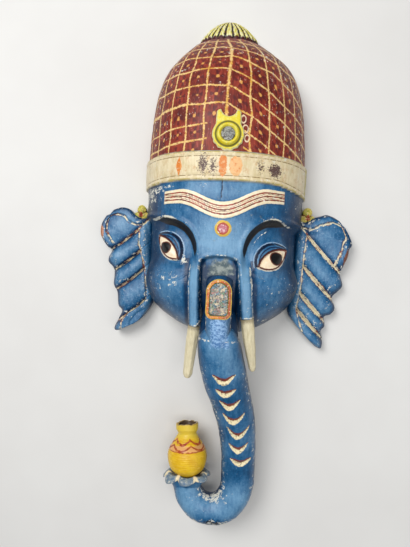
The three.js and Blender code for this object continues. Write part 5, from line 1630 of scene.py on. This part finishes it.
def glass_paint(name, tints):
    """Old mirror: silver that has gone grey in specks, with blots of the given tints that are partly stained
    silver and partly painted reflections.
    """
    paint = Paint(name, roughness=0.2, bump=0.15)
    speck = paint.noise(1.6, 4, 0.7)
    colour = paint.layer(paint.noise(6, 3).above(0.0, 0.5), srgb(104, 108, 106), srgb(150, 150, 146))
    for k, tint in enumerate(tints):
        blot = paint.noise(3.6 + 0.9 * k, 4, 0.75, (1, 1, 1 + k))
        colour = paint.layer(blot.above(0.1, 0.1), colour, tint)
    colour = paint.layer(speck.above(0.12, 0.08), colour, srgb(70, 66, 60))
    worn = speck.above(-0.1, 0.2)
    return paint.finish(colour, worn * 0.3 + 0.35, speck, 0.3, worn * -0.3 + 0.4)


def plate_skin(outline, middle, top, thickness):
    """A thin plate with a ground edge, from its outline as unit rings."""
    rows = [(1.0, -thickness), (1.0, -0.5), (0.985, -0.15), (0.94, 0.0)]
    rows += [(0.6, 0.05), (0.25, 0.06), (0.03, 0.06)]
    flat = [(outline * size + np.array(middle), top + z) for size, z in rows]
    rings = [np.column_stack([points, np.full(len(points), z)]) for points, z in flat]
    return np.array(rings), {}


def build_mirrors():
    angle = turn_of(96)
    disc = MIRROR_RADIUS * np.stack([np.cos(angle), np.sin(angle)], -1)
    top = float(face_z(JEWEL.x, np.array(JEWEL.y))) + JEWEL_RISE + RING_RISE * 0.4
    # Blots on the crown mirror: stained silver and painted reflections
    stain_and_reflection_tints = [srgb(150, 150, 140), srgb(78, 74, 66)]
    crown = make_piece("crown_glass", [plate_skin(disc, JEWEL, top, 2.0)], glass_paint("crown_glass", stain_and_reflection_tints))
    belongs(crown, "mirror_glass", "crown_mirror")
    # Blots on the long trunk mirror: stained silver and painted reflections
    stain_and_reflection_tints = [srgb(170, 112, 104), srgb(102, 132, 108), srgb(92, 128, 142), srgb(190, 176, 150)]
    top = TABLET_TOP_Z - TABLET_POCKET + FIT_GAP + TABLET_THICKNESS
    plate = plate_skin(tablet_ring(TABLET_BORDER), (TABLET_X, TABLET_Y), top, TABLET_THICKNESS)
    tablet = make_piece("trunk_glass", [plate], glass_paint("trunk_glass", stain_and_reflection_tints))
    belongs(tablet, "mirror_glass", "trunk_mirror")


build_head()
build_ear("ear_left", -1)
build_ear("ear_right", 1)
build_trunk()
build_pot()
build_tusk("tusk_left", -1)
build_tusk("tusk_right", 1)
build_mirrors()


# Room


def add_floor():
    bpy.ops.mesh.primitive_plane_add(size=8)
    floor = bpy.context.object
    floor.name = "floor"
    paint = Paint("floor", roughness=0.7)
    colour = paint.layer(paint.noise(220, 3).above(0.0, 0.8), srgb(214, 212, 208), srgb(222, 221, 217))
    floor.data.materials.append(paint.finish(colour))


def add_light(name, place, aim, size, power, colour=(1, 1, 1)):
    data = bpy.data.lights.new(name, "AREA")
    data.shape = "RECTANGLE"
    data.size, data.size_y = size
    data.energy = power
    data.color = colour
    lamp = bpy.data.objects.new(name, data)
    lamp.location = place
    lamp.rotation_euler = (Vector(aim) - Vector(place)).to_track_quat("-Z", "Y").to_euler()
    bpy.context.scene.collection.objects.link(lamp)


def add_world():
    world = bpy.data.worlds.new("room")
    world.use_nodes = True
    background = world.node_tree.nodes["Background"]
    background.inputs["Color"].default_value = (0.9, 0.93, 1, 1)
    background.inputs["Strength"].default_value = 0.2
    bpy.context.scene.world = world
    bpy.context.scene.view_settings.view_transform = "Standard"


def add_camera():
    turn = Matrix.Rotation(CAMERA_ROLL, 3, "Z") @ Matrix.Rotation(CAMERA_YAW, 3, "Y")
    back = turn.col[2]
    place = np.array([CAMERA_AIM_X, 0, 0]) + np.array(back) * CAMERA_HEIGHT / back.z
    data = bpy.data.cameras.new("camera")
    data.sensor_width = SENSOR
    data.lens = FOCAL_PX / PHOTO_HEIGHT_PX * SENSOR
    data.clip_start = 0.01
    camera = bpy.data.objects.new("camera", data)
    camera.matrix_world = Matrix.Translation(to_metres(place)) @ turn.to_4x4()
    bpy.context.scene.collection.objects.link(camera)
    bpy.context.scene.camera = camera


add_camera()
add_floor()
add_world()
add_light("window", (-0.7, 0.7, 1.6), (0, 0.1, 0), (0.9, 0.9), 26)
add_light("fill", (1.2, -0.6, 1.2), (0, 0, 0), (1.2, 1.2), 6)
add_light("top", (0.1, 0.0, 2.0), (0, 0, 0), (0.5, 1.2), 13)

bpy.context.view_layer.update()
